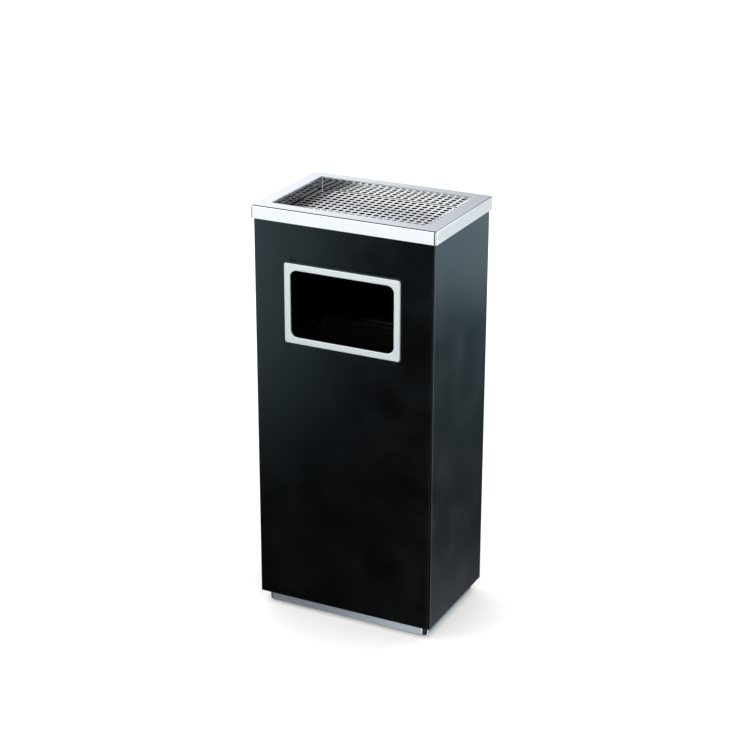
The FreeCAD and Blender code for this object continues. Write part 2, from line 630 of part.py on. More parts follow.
def make_trim_fasteners():
    """Studs welded inside the trim's face, the frame that they clamp behind the shell, and their nuts."""
    spots = stud_spots()
    studs = new_body("trim_studs")
    start = f"({SHELL_FACE} + {TRIM_HOLLOW})"
    long = (
        f"({TRIM_HOLLOW} + Sizes.shell_wall + Sizes.backing_wall"
        " + Sizes.stud_nut_rise + Sizes.stud_spare)"
    )
    plan = new_sketch(studs, "stud_plan", "XZ", shift_y=MOUTH_MIDDLE, lift=start)
    draw_circles(plan, "Sizes.stud_shank", spots)
    add_pad(studs, "stud", plan, long, reverse=True)

    frame = new_body("trim_backing_frame")
    plan = new_sketch(frame, "frame_plan", "XZ", shift_y=MOUTH_MIDDLE, lift=INSIDE_FACE)
    draw_rounded(plan, *shrink((TRIM_WIDE, TRIM_TALL, "Sizes.trim_corner"), "Sizes.backing_inset"))
    draw_rounded(plan, CUT_WIDE, CUT_TALL, CUT_CORNER)
    draw_circles(plan, STUD_HOLE, spots)
    add_pad(frame, "frame", plan, "Sizes.backing_wall", reverse=True)

    nuts = new_body("trim_nuts")
    plan = new_sketch(nuts, "nut_plan", "XZ", shift_y=MOUTH_MIDDLE, lift=BACKING_FACE)
    draw_hexagons(plan, "Sizes.stud_flats", spots)
    draw_circles(plan, "Sizes.stud_shank", spots)
    add_pad(nuts, "nut", plan, "Sizes.stud_nut_rise", reverse=True)


# --- tray and grate ----------------------------------------------------------------------------------


def make_tray_rim():
    """The polished rim: a flat top, a skirt outside the shell and a short lip round the opening."""
    body = new_body("tray_rim")
    outer = ("Sizes.width", "Sizes.depth", "Sizes.rim_corner")
    opening = (OPENING_WIDE, OPENING_DEEP, "Sizes.opening_corner")
    skirt_bottom = "(Sizes.height - Sizes.rim_skirt)"
    lip_bottom = "(Sizes.height - Sizes.lip_depth)"
    add_ring(body, "skirt", skirt_bottom, "Sizes.rim_skirt", outer, shrink(outer, "Sizes.rim_wall"))
    add_ring(body, "top", SHELL_TOP, "Sizes.rim_wall", outer, opening)
    lip_outer = (BASIN_WIDE, BASIN_DEEP, BASIN_CORNER)
    add_ring(body, "lip", lip_bottom, "Sizes.lip_depth", lip_outer, opening)
    edge_x = value(OPENING_WIDE) / 2 + 1
    edge_y = value(OPENING_DEEP) / 2 + 1

    def is_outer_top(box):
        outside = max(abs(box.XMin), abs(box.XMax)) > edge_x or max(abs(box.YMin), abs(box.YMax)) > edge_y
        return at_height(box, "Sizes.height") and outside

    add_fillet(body, "fold", "Sizes.rim_fold", is_outer_top)


def make_ash_basin():
    """The box that hangs outside the rim's lip, with a bend all round its floor."""
    body = new_body("ash_basin")
    inner = (BASIN_WIDE, BASIN_DEEP, BASIN_CORNER)
    outer = shrink(inner, "-Sizes.basin_wall")
    add_ring(body, "walls", BASIN_BOTTOM, f"({SHELL_TOP} - {BASIN_BOTTOM})", outer, inner)
    floor = new_sketch(body, "floor_plan", "XY", lift=BASIN_BOTTOM)
    draw_rounded(floor, *outer)
    add_pad(body, "floor", floor, "Sizes.basin_wall")
    add_fillet(body, "outer_bend", "Sizes.basin_fold", lambda box: at_height(box, BASIN_BOTTOM))
    floor_top = f"({BASIN_BOTTOM} + Sizes.basin_wall)"
    inner_bend = "(Sizes.basin_fold - Sizes.basin_wall)"
    add_fillet(body, "inner_bend", inner_bend, lambda box: at_height(box, floor_top))


def make_grate_ledges():
    """Four angle ledges welded to the basin's long walls, which carry the grate's border."""
    body = new_body("grate_ledges")
    middle = "(Sizes.ledge_spacing / 2)"
    sketch = new_sketch(body, "section", "YZ", lift=f"{middle} - Sizes.ledge_wide / 2")
    wall = f"(-{BASIN_DEEP} / 2)"
    section = [
        (wall, GRATE_BOTTOM),
        (wall, f"{GRATE_BOTTOM} - Sizes.ledge_drop"),
        (f"{wall} + Sizes.ledge_wall", f"{GRATE_BOTTOM} - Sizes.ledge_drop"),
        (f"{wall} + Sizes.ledge_wall", f"{GRATE_BOTTOM} - Sizes.ledge_wall"),
        (f"{wall} + Sizes.ledge_reach", f"{GRATE_BOTTOM} - Sizes.ledge_wall"),
        (f"{wall} + Sizes.ledge_reach", GRATE_BOTTOM),
    ]
    draw_outline(sketch, section)
    ledge = add_pad(body, "ledge", sketch, "Sizes.ledge_wide")
    mirrors = [("Mirrored", "YZ_Plane", None, None), ("Mirrored", "XZ_Plane", None, None)]
    add_patterns(body, "corners", ledge, mirrors)


def make_grate_plate():
    """The punched plate: as many whole square holes as its border leaves room for."""
    body = new_body("grate_plate")
    plan = new_sketch(body, "plate_plan", "XY", lift=GRATE_BOTTOM)
    draw_rounded(plan, GRATE_WIDE, GRATE_DEEP, "Sizes.grate_corner")
    add_pad(body, "plate", plan, "Sizes.grate_wall")
    spare = "(2 * Sizes.grate_margin + Sizes.grate_hole - Sizes.grate_pitch)"
    count_x = f"floor(({GRATE_WIDE} - {spare}) / Sizes.grate_pitch)"
    count_y = f"floor(({GRATE_DEEP} - {spare}) / Sizes.grate_pitch)"
    row_x = f"(({count_x} - 1) * Sizes.grate_pitch)"
    row_y = f"(({count_y} - 1) * Sizes.grate_pitch)"
    hole = new_sketch(
        body, "hole_plan", "XY", shift_x=f"-{row_x} / 2", shift_y=f"-{row_y} / 2", lift=GRATE_BOTTOM
    )
    draw_rectangle(hole, "Sizes.grate_hole", "Sizes.grate_hole")
    punched = add_pocket(body, "hole", hole, "2 * Sizes.grate_wall", reverse=True)
    rows = [("LinearPattern", "X_Axis", row_x, count_x), ("LinearPattern", "Y_Axis", row_y, count_y)]
    add_patterns(body, "holes", punched, rows)


# --- liner and bail ----------------------------------------------------------------------------------


def ear_rivet_spots():
    """Rivets of one ear, as Y and Z: one each side of the pivot and below it."""
    low = f"({PIVOT_Z} - Sizes.ear_rivet_down)"
    return [(f"{side} * Sizes.ear_rivet_out", low) for side in (-1, 1)]


def make_liner_body():
    """The liner's straight wall, turned out and down over the rim wire, with holes for both ears."""
    body = new_body("liner_body")
    outer = (LINER_WIDE, LINER_DEEP, "Sizes.liner_corner")
    inner = shrink(outer, "Sizes.liner_wall")
    channel = shrink(outer, f"(-{HEM_BORE})")
    hem = shrink(channel, "(-Sizes.liner_wall)")
    add_ring(body, "wall", LINER_BASE, f"({LINER_TOP} - {LINER_BASE})", outer, inner)
    add_ring(body, "hem_top", f"({LINER_TOP} - Sizes.liner_wall)", "Sizes.liner_wall", hem, inner)
    add_ring(body, "hem_side", f"({LINER_TOP} - Sizes.hem_depth)", "Sizes.hem_depth", hem, channel)
    holes = new_sketch(body, "ear_plan", "YZ")
    draw_circles(holes, BAIL_HOLE, [("0", PIVOT_Z)])
    draw_circles(holes, RIVET_HOLE, ear_rivet_spots())
    add_pocket(body, "ear_holes", holes)


def make_liner_floor():
    """The liner's floor: a plate pressed in above the lower edge, with its own edge turned down."""
    body = new_body("liner_floor")
    outer = shrink((LINER_WIDE, LINER_DEEP, "Sizes.liner_corner"), "Sizes.liner_wall")
    top = f"({LINER_BASE} + Sizes.liner_recess)"
    plate = new_sketch(body, "plate_plan", "XY", lift=f"({top} - Sizes.liner_wall)")
    draw_rounded(plate, *outer)
    add_pad(body, "plate", plate, "Sizes.liner_wall")
    add_ring(body, "edge", LINER_BASE, "Sizes.liner_recess", outer, shrink(outer, "Sizes.liner_wall"))


def make_rim_wire():
    """The round wire inside the liner's hem."""
    body = new_body("liner_rim_wire")
    level = f"({LINER_TOP} - Sizes.liner_wall - {HEM_BORE} / 2)"
    outer = (LINER_WIDE, LINER_DEEP, "Sizes.liner_corner")
    centreline = shrink(outer, f"(-{HEM_BORE} / 2)")
    path = new_sketch(body, "centreline", "XY", lift=level)
    draw_rounded(path, *centreline)
    section = new_sketch(body, "section", "XZ", shift_x=f"{centreline[0]} / 2", shift_y=level)
    draw_circles(section, "Sizes.wire_shank", [("0", "0")])
    add_pipe(body, "wire", section, path)


def add_pipe(body, name, section, path):
    """Carries a section along all of a path sketch."""
    DOCUMENT.recompute()
    pipe = body.newObject("PartDesign::AdditivePipe", name)
    pipe.Profile = section
    pipe.Spine = (path, [f"Edge{i}" for i in range(1, len(path.Shape.Edges) + 1)])
    DOCUMENT.recompute()
    return pipe


def make_bail_ears():
    """A plate inside each end wall that carries the bail, and its rivets."""
    spots = ear_rivet_spots()
    half = "Sizes.ear_wide / 2"
    top = f"({LINER_TOP} - Sizes.ear_drop)"
    low = f"({top} - Sizes.ear_tall)"
    outline = [("-" + half, low), (half, low), (half, top), ("-" + half, top)]
    inner_face = f"({EAR_FACE} - Sizes.ear_wall)"
    grip = "(Sizes.ear_wall + Sizes.liner_wall)"
    rivets = new_body("ear_rivets")
    for name, side in (("left", -1), ("right", 1)):
        ear = new_body("bail_ear_" + name)
        plan = new_sketch(ear, "plan", "YZ", lift=f"{side} * {EAR_FACE}")
        draw_outline(plan, outline)
        draw_circles(plan, BAIL_HOLE, [("0", PIVOT_Z)])
        draw_circles(plan, RIVET_HOLE, spots)
        add_pad(ear, "plate", plan, "Sizes.ear_wall", reverse=side > 0)
        outward, inward = side < 0, side > 0
        parts = [
            (name + "_head", "Sizes.rivet_head", f"{side} * {inner_face}", "Sizes.rivet_rise", inward),
            (name + "_shank", "Sizes.rivet_shank", f"{side} * {inner_face}", grip, outward),
            (name + "_tail", "Sizes.rivet_tail", f"{side} * {LINER_FACE}", "Sizes.rivet_rise", outward),
        ]
        add_fastener(rivets, "YZ", spots, parts)


def place_on_pivot(body):
    """Turns and lifts a piece drawn flat about the bail's pivot to where the folded bail lies."""
    body.Placement = FreeCAD.Placement(Vector(), FreeCAD.Rotation(Vector(1, 0, 0), 1))
    body.setExpression("Placement.Base.z", PIVOT_Z)
    body.setExpression("Placement.Rotation.Angle", BAIL_TILT)


def draw_half_bail(sketch, end):
    """Half the bail's centreline, level: in from its end, a bend, the leg, a corner and half the bar."""
    reach, leg = value(BAIL_REACH), value(LEG_X)
    bend, corner = value("Sizes.bail_bend"), value("Sizes.bail_corner")
    normal = Vector(0, 0, 1)
    lower = Part.Circle(Vector(leg + bend, bend, 0), normal, bend)
    upper = Part.Circle(Vector(leg - corner, reach - corner, 0), normal, corner)
    pieces = [
        Part.LineSegment(Vector(value(end), 0, 0), Vector(leg + bend, 0, 0)),
        Part.ArcOfCircle(lower, 2 * QUARTER, 3 * QUARTER),
        Part.LineSegment(Vector(leg, bend, 0), Vector(leg, reach - corner, 0)),
        Part.ArcOfCircle(upper, 0, QUARTER),
        Part.LineSegment(Vector(leg - corner, reach, 0), Vector(0, reach, 0)),
    ]
    sketch.addGeometry(pieces, False)
    for joint in ((0, 2, 1, 2), (1, 1, 2, 1), (2, 2, 3, 1), (3, 2, 4, 1)):
        sketch.addConstraint(Sketcher.Constraint("Tangent", *joint))
    for line, kind in ((0, "Horizontal"), (2, "Vertical"), (4, "Horizontal")):
        sketch.addConstraint(Sketcher.Constraint(kind, line))
    sketch.addConstraint(Sketcher.Constraint("PointOnObject", 0, 1, -1))
    sketch.addConstraint(Sketcher.Constraint("PointOnObject", 4, 2, -2))
    hold(sketch, "DistanceX", 0, 1, end)
    hold(sketch, "DistanceX", 2, 1, LEG_X)
    hold(sketch, "DistanceY", 4, 2, BAIL_REACH)
    hold(sketch, "Radius", 1, "Sizes.bail_bend")
    hold(sketch, "Radius", 3, "Sizes.bail_corner")


def make_bail():
    """The wire handle, its flattened ends outside the liner, and the sleeve where the hand goes."""
    wire = new_body("bail_wire")
    end = f"({LINER_FACE} + Sizes.bail_upset_gap)"
    path = new_sketch(wire, "centreline", "XY")
    draw_half_bail(path, end)
    section = new_sketch(wire, "section", "YZ", lift=end)
    draw_circles(section, "Sizes.bail_shank", [("0", "0")])
    half = add_pipe(wire, "half", section, path)
    flat = new_sketch(wire, "end_plan", "YZ", lift=end)
    draw_circles(flat, "Sizes.bail_upset", [("0", "0")])
    flat_end = add_pad(wire, "flat_end", flat, "Sizes.bail_upset_wall")
    mirror = wire.newObject("PartDesign::Mirrored", "other_half")
    mirror.Originals = [half, flat_end]
    mirror.MirrorPlane = (origin_part(wire, "YZ_Plane"), [""])
    wire.Tip = mirror
    place_on_pivot(wire)

    grip = new_body("bail_grip")
    sleeve = new_sketch(grip, "section", "YZ", shift_x=BAIL_REACH, lift="-Sizes.grip_long / 2")
    draw_circles(sleeve, "Sizes.grip_shank", [("0", "0")])
    draw_circles(sleeve, "Sizes.bail_shank", [("0", "0")])
    add_pad(grip, "sleeve", sleeve, "Sizes.grip_long")
    place_on_pivot(grip)
    DOCUMENT.recompute()


# --- build, check and export -------------------------------------------------------------------------


def check_document():
    """Stops if any object of the document failed, or any sub-part has no valid solid."""
    DOCUMENT.recompute()
    for item in DOCUMENT.Objects:
        if "Invalid" in item.State or "Error" in item.State:
            raise RuntimeError(f"{item.Label} ({item.TypeId}) failed: {item.State}")
    bodies = [item for item in DOCUMENT.Objects if item.TypeId == "PartDesign::Body"]
    for body in bodies:
        if body.Shape.isNull() or not body.Shape.isValid() or not body.Shape.Solids:
            raise RuntimeError(f"{body.Label} has no valid solid")
    return bodies


def export_parts(bodies):
    """Writes one STEP file for each sub-part, named by its label."""
    os.makedirs("parts", exist_ok=True)
    for body in bodies:
        body.Shape.exportStep(f"parts/{body.Label}.step")
        print(f"{body.Label}: {len(body.Shape.Solids)} solid(s), {body.Shape.Volume:.0f} mm3")


def main():
    fill_sheet()
    for make in (
        make_body_shell,
        make_back_seam,
        make_top_frame,
        make_base_pan,
        make_plinth,
        make_feet,
        make_foot_fasteners,
        make_opening_trim,
        make_trim_fasteners,
        make_tray_rim,
        make_ash_basin,
        make_grate_ledges,
        make_grate_plate,
        make_liner_body,
        make_liner_floor,
        make_rim_wire,
        make_bail_ears,
        make_bail,
    ):
        make()
    export_parts(check_document())


main()
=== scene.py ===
"""Ashtray bin: a black stoved cabinet with a polished stainless ash tray on top.

Everything is in metres in the part's own frame: +Z up, the mouth faces -Y, the floor is z = 0. Each
sub-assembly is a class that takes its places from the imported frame, works out its sheet metal as
profiles carried round rectangles with round corners, and dresses its pieces in their finishes.
"""
import logging
import math
from dataclasses import dataclass, field
from enum import Enum
from typing import Any, Sequence

import bpy
import numpy as np
from mathutils import Matrix, Vector


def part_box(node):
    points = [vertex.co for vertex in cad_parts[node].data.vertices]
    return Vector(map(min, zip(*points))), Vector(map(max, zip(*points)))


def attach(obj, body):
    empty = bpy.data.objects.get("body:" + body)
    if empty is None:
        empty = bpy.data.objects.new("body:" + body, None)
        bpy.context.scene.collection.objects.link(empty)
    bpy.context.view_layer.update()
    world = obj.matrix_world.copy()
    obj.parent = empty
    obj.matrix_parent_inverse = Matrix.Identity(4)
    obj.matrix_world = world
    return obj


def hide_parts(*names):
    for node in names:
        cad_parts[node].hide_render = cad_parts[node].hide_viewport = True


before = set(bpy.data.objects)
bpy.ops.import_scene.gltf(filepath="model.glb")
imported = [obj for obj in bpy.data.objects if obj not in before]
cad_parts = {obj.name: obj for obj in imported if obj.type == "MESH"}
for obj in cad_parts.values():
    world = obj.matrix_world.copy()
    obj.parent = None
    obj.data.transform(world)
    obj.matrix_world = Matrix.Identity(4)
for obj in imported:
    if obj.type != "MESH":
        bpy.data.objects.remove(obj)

Tree, Node, Socket = bpy.types.NodeTree, bpy.types.Node, bpy.types.NodeSocket

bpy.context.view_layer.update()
LOG = logging.getLogger("ashtray_bin")
MM = 0.001
# Points nearer to each other than this are one point
SNAP = 0.01 * MM
# How far beyond the ends of a bend the points stand that keep its flats flat, at most
FLAT_GUARD = 0.3 * MM
# Share of a sheet's thickness that its cut edges are eased by
EASED_SHARE = 0.18
CORNERS = ((-1, -1), (1, -1), (1, 1), (-1, 1))


# --- shapes ------------------------------------------------------------------------------------------


class Facing(Enum):
    """How a profile carried round a plan stands in the frame: the order of its three coordinates."""

    LEVEL = (0, 1, 2)
    FRONT = (0, 2, 1)
    ENDWAYS = (2, 0, 1)


class Ends(Enum):
    """What becomes of the first and last ring of a loft."""

    JOINED = "joined"
    CAPPED = "capped"


@dataclass
class Shape:
    """A closed surface: its points in metres, four-sided faces and three-sided faces."""

    points: np.ndarray
    quads: np.ndarray
    triangles: np.ndarray = field(default_factory=lambda: np.zeros((0, 3), int))

    def split(self) -> np.ndarray:
        """Every face as triangles, each four-sided one cut along a diagonal."""
        q = self.quads
        return np.concatenate([q[:, [0, 1, 2]], q[:, [0, 2, 3]], self.triangles])

    def moved(self, x: float = 0.0, y: float = 0.0, z: float = 0.0) -> "Shape":
        """The same shape shifted along the frame's axes."""
        return Shape(self.points + np.array([x, y, z]), self.quads, self.triangles)

    def outward(self) -> "Shape":
        """The shape with its faces turned outwards, told by the sign of the volume they enclose.

        Returns:
            The shape, or its copy turned inside out.
        """
        a, b, c = (self.points[self.split()[:, i]] for i in range(3))
        if np.einsum("ij,ij->", a, np.cross(b, c)) > 0:
            return self
        return Shape(self.points, self.quads[:, ::-1], self.triangles[:, ::-1])

    def normals(self) -> np.ndarray:
        """Point normals, each the sum of its faces' normals times their areas, so that flats stay flat.

        Returns:
            One unit normal for each point.
        """
        corners = self.split()
        a, b, c = (self.points[corners[:, i]] for i in range(3))
        square = np.cross(b - a, c - a)
        total = np.zeros_like(self.points)
        for i in range(3):
            np.add.at(total, corners[:, i], square)
        return total / np.maximum(np.linalg.norm(total, axis=1, keepdims=True), 1e-20)

    def welded(self) -> "Shape":
        """The shape with points at one place made one, and faces that fall shut dropped or cut down.

        Returns:
            The shape without doubled points or shut faces.
        """
        places = np.round(self.points / SNAP).astype(np.int64)
        _, first, back = np.unique(places, axis=0, return_index=True, return_inverse=True)
        back = back.reshape(-1)
        quads, triangles = back[self.quads], back[self.triangles]
        shut = quads == np.roll(quads, -1, axis=1)
        pinched = shut.sum(axis=1) == 1
        kept = np.argsort(shut[pinched], axis=1, kind="stable")[:, :3]
        pinches = np.take_along_axis(quads[pinched], np.sort(kept, axis=1), axis=1)
        triangles = np.concatenate([triangles, pinches])
        sound = (triangles != np.roll(triangles, -1, axis=1)).all(axis=1)
        return Shape(self.points[first], quads[~shut.any(axis=1)], triangles[sound])

    @staticmethod
    def joined(shapes: Sequence["Shape"]) -> "Shape":
        """Several separate shapes in one mesh."""
        starts = np.cumsum([0] + [len(s.points) for s in shapes[:-1]])
        return Shape(
            np.concatenate([s.points for s in shapes]),
            np.concatenate([s.quads + n for s, n in zip(shapes, starts)]),
            np.concatenate([s.triangles + n for s, n in zip(shapes, starts)]),
        )

    def to_object(self, name: str) -> bpy.types.Object:
        """A mesh object at the origin, smooth, with the weighted normals.

        Args:
            name: The piece's name.

        Returns:
            The new object, linked to the scene.
        """
        shape = self.outward()
        mesh = bpy.data.meshes.new(name)
        mesh.from_pydata(shape.points.tolist(), [], shape.quads.tolist() + shape.triangles.tolist())
        mesh.polygons.foreach_set("use_smooth", np.ones(len(mesh.polygons), bool))
        mesh.normals_split_custom_set_from_vertices(shape.normals().tolist())
        mesh.update()
        piece = bpy.data.objects.new(name, mesh)
        bpy.context.scene.collection.objects.link(piece)
        return piece


def grid_quads(rows: int, columns: int, wrap_rows: bool, wrap_columns: bool) -> np.ndarray:
    """Faces of a grid of points numbered row by row.

    Args:
        rows: Rows of points.
        columns: Points in a row.
        wrap_rows: Whether the last row joins the first.
        wrap_columns: Whether each row closes on itself.

    Returns:
        One row of four point numbers for each face.
    """
    r = np.arange(rows if wrap_rows else rows - 1)[:, None]
    c = np.arange(columns if wrap_columns else columns - 1)[None, :]
    up, right = (r + 1) % rows, (c + 1) % columns
    return np.stack(
        [r * columns + c, r * columns + right, up * columns + right, up * columns + c], axis=-1
    ).reshape(-1, 4)


@dataclass(frozen=True)
class Wrap:
    """A rectangle with round corners that a profile is carried round.

    half_a and half_b are its half sizes. insets and corners say how round it is at each distance
    inwards from that outline, so that one profile can run from an outer edge to an inner one.
    """

    half_a: float
    half_b: float
    insets: tuple[float, ...] = (0.0,)
    corners: tuple[float, ...] = (0.0,)

    def outlines(self, inset: np.ndarray, arc_steps: int, side_steps: int) -> np.ndarray:
        """Outlines at several distances inwards, all with the same number of points.

        Each corner is a quarter circle about its own centre: centre + radius * (cos t, sin t) with t
        through 90 degrees. Each side is a straight run between two corners.

        Args:
            inset: Distance inwards of each outline.
            arc_steps: Steps in a corner.
            side_steps: Steps in a side.

        Returns:
            Array of outlines by points by two.
        """
        radius = np.interp(inset, self.insets, self.corners)[:, None]
        half = np.stack([self.half_a - inset, self.half_b - inset], axis=-1)[:, None, :]
        rows = []
        for turn, sign in enumerate(((1, 1), (-1, 1), (-1, -1), (1, -1))):
            angle = (turn + np.linspace(0, 1, arc_steps + 1)) * math.pi / 2
            circle = np.stack([np.cos(angle), np.sin(angle)], axis=-1)[None]
            rows.append((half - radius[..., None]) * np.array(sign) + radius[..., None] * circle)
        points = []
        for turn in range(4):
            here, there = rows[turn][:, -1:], rows[(turn + 1) % 4][:, :1]
            share = np.arange(1, side_steps)[None, :, None] / side_steps
            points += [rows[turn], here + (there - here) * share]
        return np.concatenate(points, axis=1)


def ring(radius: float) -> Wrap:
    """A wrap that is one circle: a profile's inset is measured inwards from its radius."""
    return Wrap(radius, radius, (0.0, radius), (radius, 0.0))


def carry(
    wrap: Wrap,
    profile: np.ndarray,
    facing: Facing = Facing.LEVEL,
    ends: Ends = Ends.JOINED,
    arc_steps: int = 8,
    side_steps: int = 1,
) -> Shape:
    """A profile carried round a rectangle with round corners.

    The surface is S(u, v) = outline of the wrap at the profile's inset(v), at the place u along it, and
    at the profile's height(v).

    Args:
        wrap: The rectangle.
        profile: Rows of (inset, height).
        facing: How the result stands in the frame.
        ends: JOINED for a closed profile, CAPPED for one that ends on flat ends.
        arc_steps: Steps in a corner.
        side_steps: Steps in a side.

    Returns:
        The closed shape.
    """
    rounds = wrap.outlines(profile[:, 0], arc_steps, side_steps)
    rows, columns = rounds.shape[:2]
    height = np.broadcast_to(profile[:, 1, None, None], (rows, columns, 1))
    points = np.concatenate([rounds, height], axis=-1).reshape(-1, 3)
    quads = grid_quads(rows, columns, ends is Ends.JOINED, True)
    triangles = np.zeros((0, 3), int)
    if ends is Ends.CAPPED:
        middles = np.array([[0, 0, profile[0, 1]], [0, 0, profile[-1, 1]]])
        here, there = np.arange(columns), (np.arange(columns) + 1) % columns
        last = (rows - 1) * columns
        low = np.stack([there, here, np.full(columns, rows * columns)], axis=-1)
        high = np.stack([here + last, there + last, np.full(columns, rows * columns + 1)], axis=-1)
        points = np.concatenate([points, middles])
        triangles = np.concatenate([low, high])
    return Shape(points[:, list(facing.value)], quads, triangles).welded()


def bent(
    points: Sequence[tuple[float, float]], radii: Sequence[float], steps: int = 6
) -> tuple[np.ndarray, np.ndarray]:
    """A line of straight runs with a round bend at each inner point.

    A bend of radius r at a turn of angle w starts r * tan(w / 2) before the point and ends as far after
    it. A point just off each end of a bend keeps the runs beside it truly flat.

    Args:
        points: Rows of (inset, height).
        radii: A radius for each inner point.
        steps: Steps in a bend.

    Returns:
        The line's points and the unit normal to its left at each.
    """
    spots = np.array(points, float)
    runs = np.diff(spots, axis=0)
    lengths = np.linalg.norm(runs, axis=1)
    along = runs / lengths[:, None]
    left = np.stack([-along[:, 1], along[:, 0]], axis=-1)
    line, normals = [spots[:1]], [left[:1]]
    for i, radius in enumerate(radii):
        turn = math.atan2(np.cross(along[i], along[i + 1]), float(along[i] @ along[i + 1]))
        reach = abs(radius * math.tan(turn / 2))
        side = math.copysign(1.0, turn)
        start = spots[i + 1] - along[i] * reach
        centre = start + left[i] * radius * side
        angle = np.linspace(0, turn, steps + 1)[:, None]
        normal = left[i] * np.cos(angle) + -along[i] * np.sin(angle)
        off = min(FLAT_GUARD, 0.25 * lengths[i], 0.25 * lengths[i + 1])
        line += [start[None] - along[i] * off, centre - normal * radius * side]
        line += [(spots[i + 1] + along[i + 1] * (reach + off))[None]]
        normals += [left[i][None], normal, left[i + 1][None]]
    return np.concatenate([*line, spots[-1:]]), np.concatenate([*normals, left[-1:]])


def sheet(
    points: Sequence[tuple[float, float]], radii: Sequence[float], wall: float, steps: int = 6
) -> np.ndarray:
    """The closed section of a bent sheet: its face, and the same line moved to the left by the wall.

    Args:
        points: The face's line, as for bent.
        radii: Its bends.
        wall: Thickness. A negative one puts the sheet to the right of the face.
        steps: Steps in a bend.

    Returns:
        Rows of (inset, height) round the section, with its cut edges eased.
    """
    face, normal = bent(points, radii, steps)
    ease = EASED_SHARE * abs(wall)
    guards = np.array([[ease], [3 * ease]])
    first_run, last_run = face[1] - face[0], face[-2] - face[-1]
    starts = face[0] + first_run / np.linalg.norm(first_run) * guards
    stops = face[-1] + last_run / np.linalg.norm(last_run) * guards[::-1]
    front = np.concatenate([starts, face[1:-1], stops])
    back = front + np.concatenate([normal[:1], normal, normal[-1:]]) * wall
    tuck = math.copysign(ease, wall)
    first = [face[0] + normal[0] * (wall - tuck), face[0] + normal[0] * tuck]
    last = [face[-1] + normal[-1] * tuck, face[-1] + normal[-1] * (wall - tuck)]
    return np.concatenate([front, last, back[::-1], first])


def spans(stops: Sequence[float], step: float) -> np.ndarray:
    """Values from the first stop to the last that pass through every stop, at most a step apart."""
    parts = [
        np.linspace(a, b, max(1, math.ceil(abs(b - a) / step)) + 1)[:-1] for a, b in zip(stops, stops[1:])
    ]
    return np.concatenate([*parts, [stops[-1]]])


# --- finishes ----------------------------------------------------------------------------------------


def linear(colour: str) -> tuple[float, float, float, float]:
    """Linear red, green, blue and alpha of an sRGB hex colour such as 1A2B3C.

    Args:
        colour: Six hex digits.

    Returns:
        The four parts, alpha being one.
    """
    parts = [int(colour[i : i + 2], 16) / 255 for i in (0, 2, 4)]
    light = [c / 12.92 if c <= 0.04045 else ((c + 0.055) / 1.055) ** 2.4 for c in parts]
    return light[0], light[1], light[2], 1.0


def add_node(
    tree: Tree, kind: str, inputs: dict[Any, Any] | None = None, **settings: Any
) -> Node:
    """Adds a node with its settings, input values and links.

    Args:
        tree: The tree that it goes in.
        kind: Its type, such as ShaderNodeBump.
        inputs: A value or another node's output for each input, by name or number.
        settings: Its own settings, by name.

    Returns:
        The new node.
    """
    node = tree.nodes.new(kind)
    for name, setting in settings.items():
        setattr(node, name, setting)
    for socket, given in (inputs or {}).items():
        if isinstance(given, Socket):
            tree.links.new(given, node.inputs[socket])
        else:
            node.inputs[socket].default_value = given
    return node


@dataclass(frozen=True)
class Finish:
    """A finish: a base colour that drifts to a second one, and a surface with its own roughness."""

    name: str
    colour: str
    drift: str
    roughness: float
    metallic: float = 0.0

    def material(self) -> bpy.types.Material:
        """The finish's material, made once and then shared.

        Returns:
            The material.
        """
        made = bpy.data.materials.get(self.name)
        if made is not None:
            return made
        made = bpy.data.materials.new(self.name)
        made.use_nodes = True
        tree = made.node_tree
        tree.nodes.clear()
        shader = add_node(
            tree, "ShaderNodeBsdfPrincipled", {"Metallic": self.metallic, "Roughness": self.roughness}
        )
        add_node(tree, "ShaderNodeOutputMaterial", {"Surface": shader.outputs[0]})
        place = add_node(tree, "ShaderNodeTexCoord").outputs["Object"]
        self.detail(tree, shader, place)
        return made

    def detail(self, tree: Tree, shader: Node, place: Socket) -> None:
        """Adds this finish's colour, roughness and relief to the shader.

        Args:
            tree: The material's tree.
            shader: Its Principled shader.
            place: Object coordinates, in metres.
        """
        raise NotImplementedError

    def lay(
        self, tree: Tree, shader: Node, share: Socket,
        rough: Socket, height: Socket, relief: float,
    ) -> None:
        """Links the patterns of a finish to its shader.

        Args:
            tree: The material's tree.
            shader: Its Principled shader.
            share: How far the colour has drifted, 0 to 1.
            rough: The roughness.
            height: The relief's pattern, 0 to 1.
            relief: The relief's full height, in metres.
        """
        ends = {6: linear(self.colour), 7: linear(self.drift)}
        colour = add_node(tree, "ShaderNodeMix", {0: share, **ends}, data_type="RGBA")
        bump = add_node(tree, "ShaderNodeBump", {"Height": height, "Distance": relief, "Strength": 1.0})
        tree.links.new(colour.outputs[2], shader.inputs["Base Color"])
        tree.links.new(rough, shader.inputs["Roughness"])
        tree.links.new(bump.outputs[0], shader.inputs["Normal"])


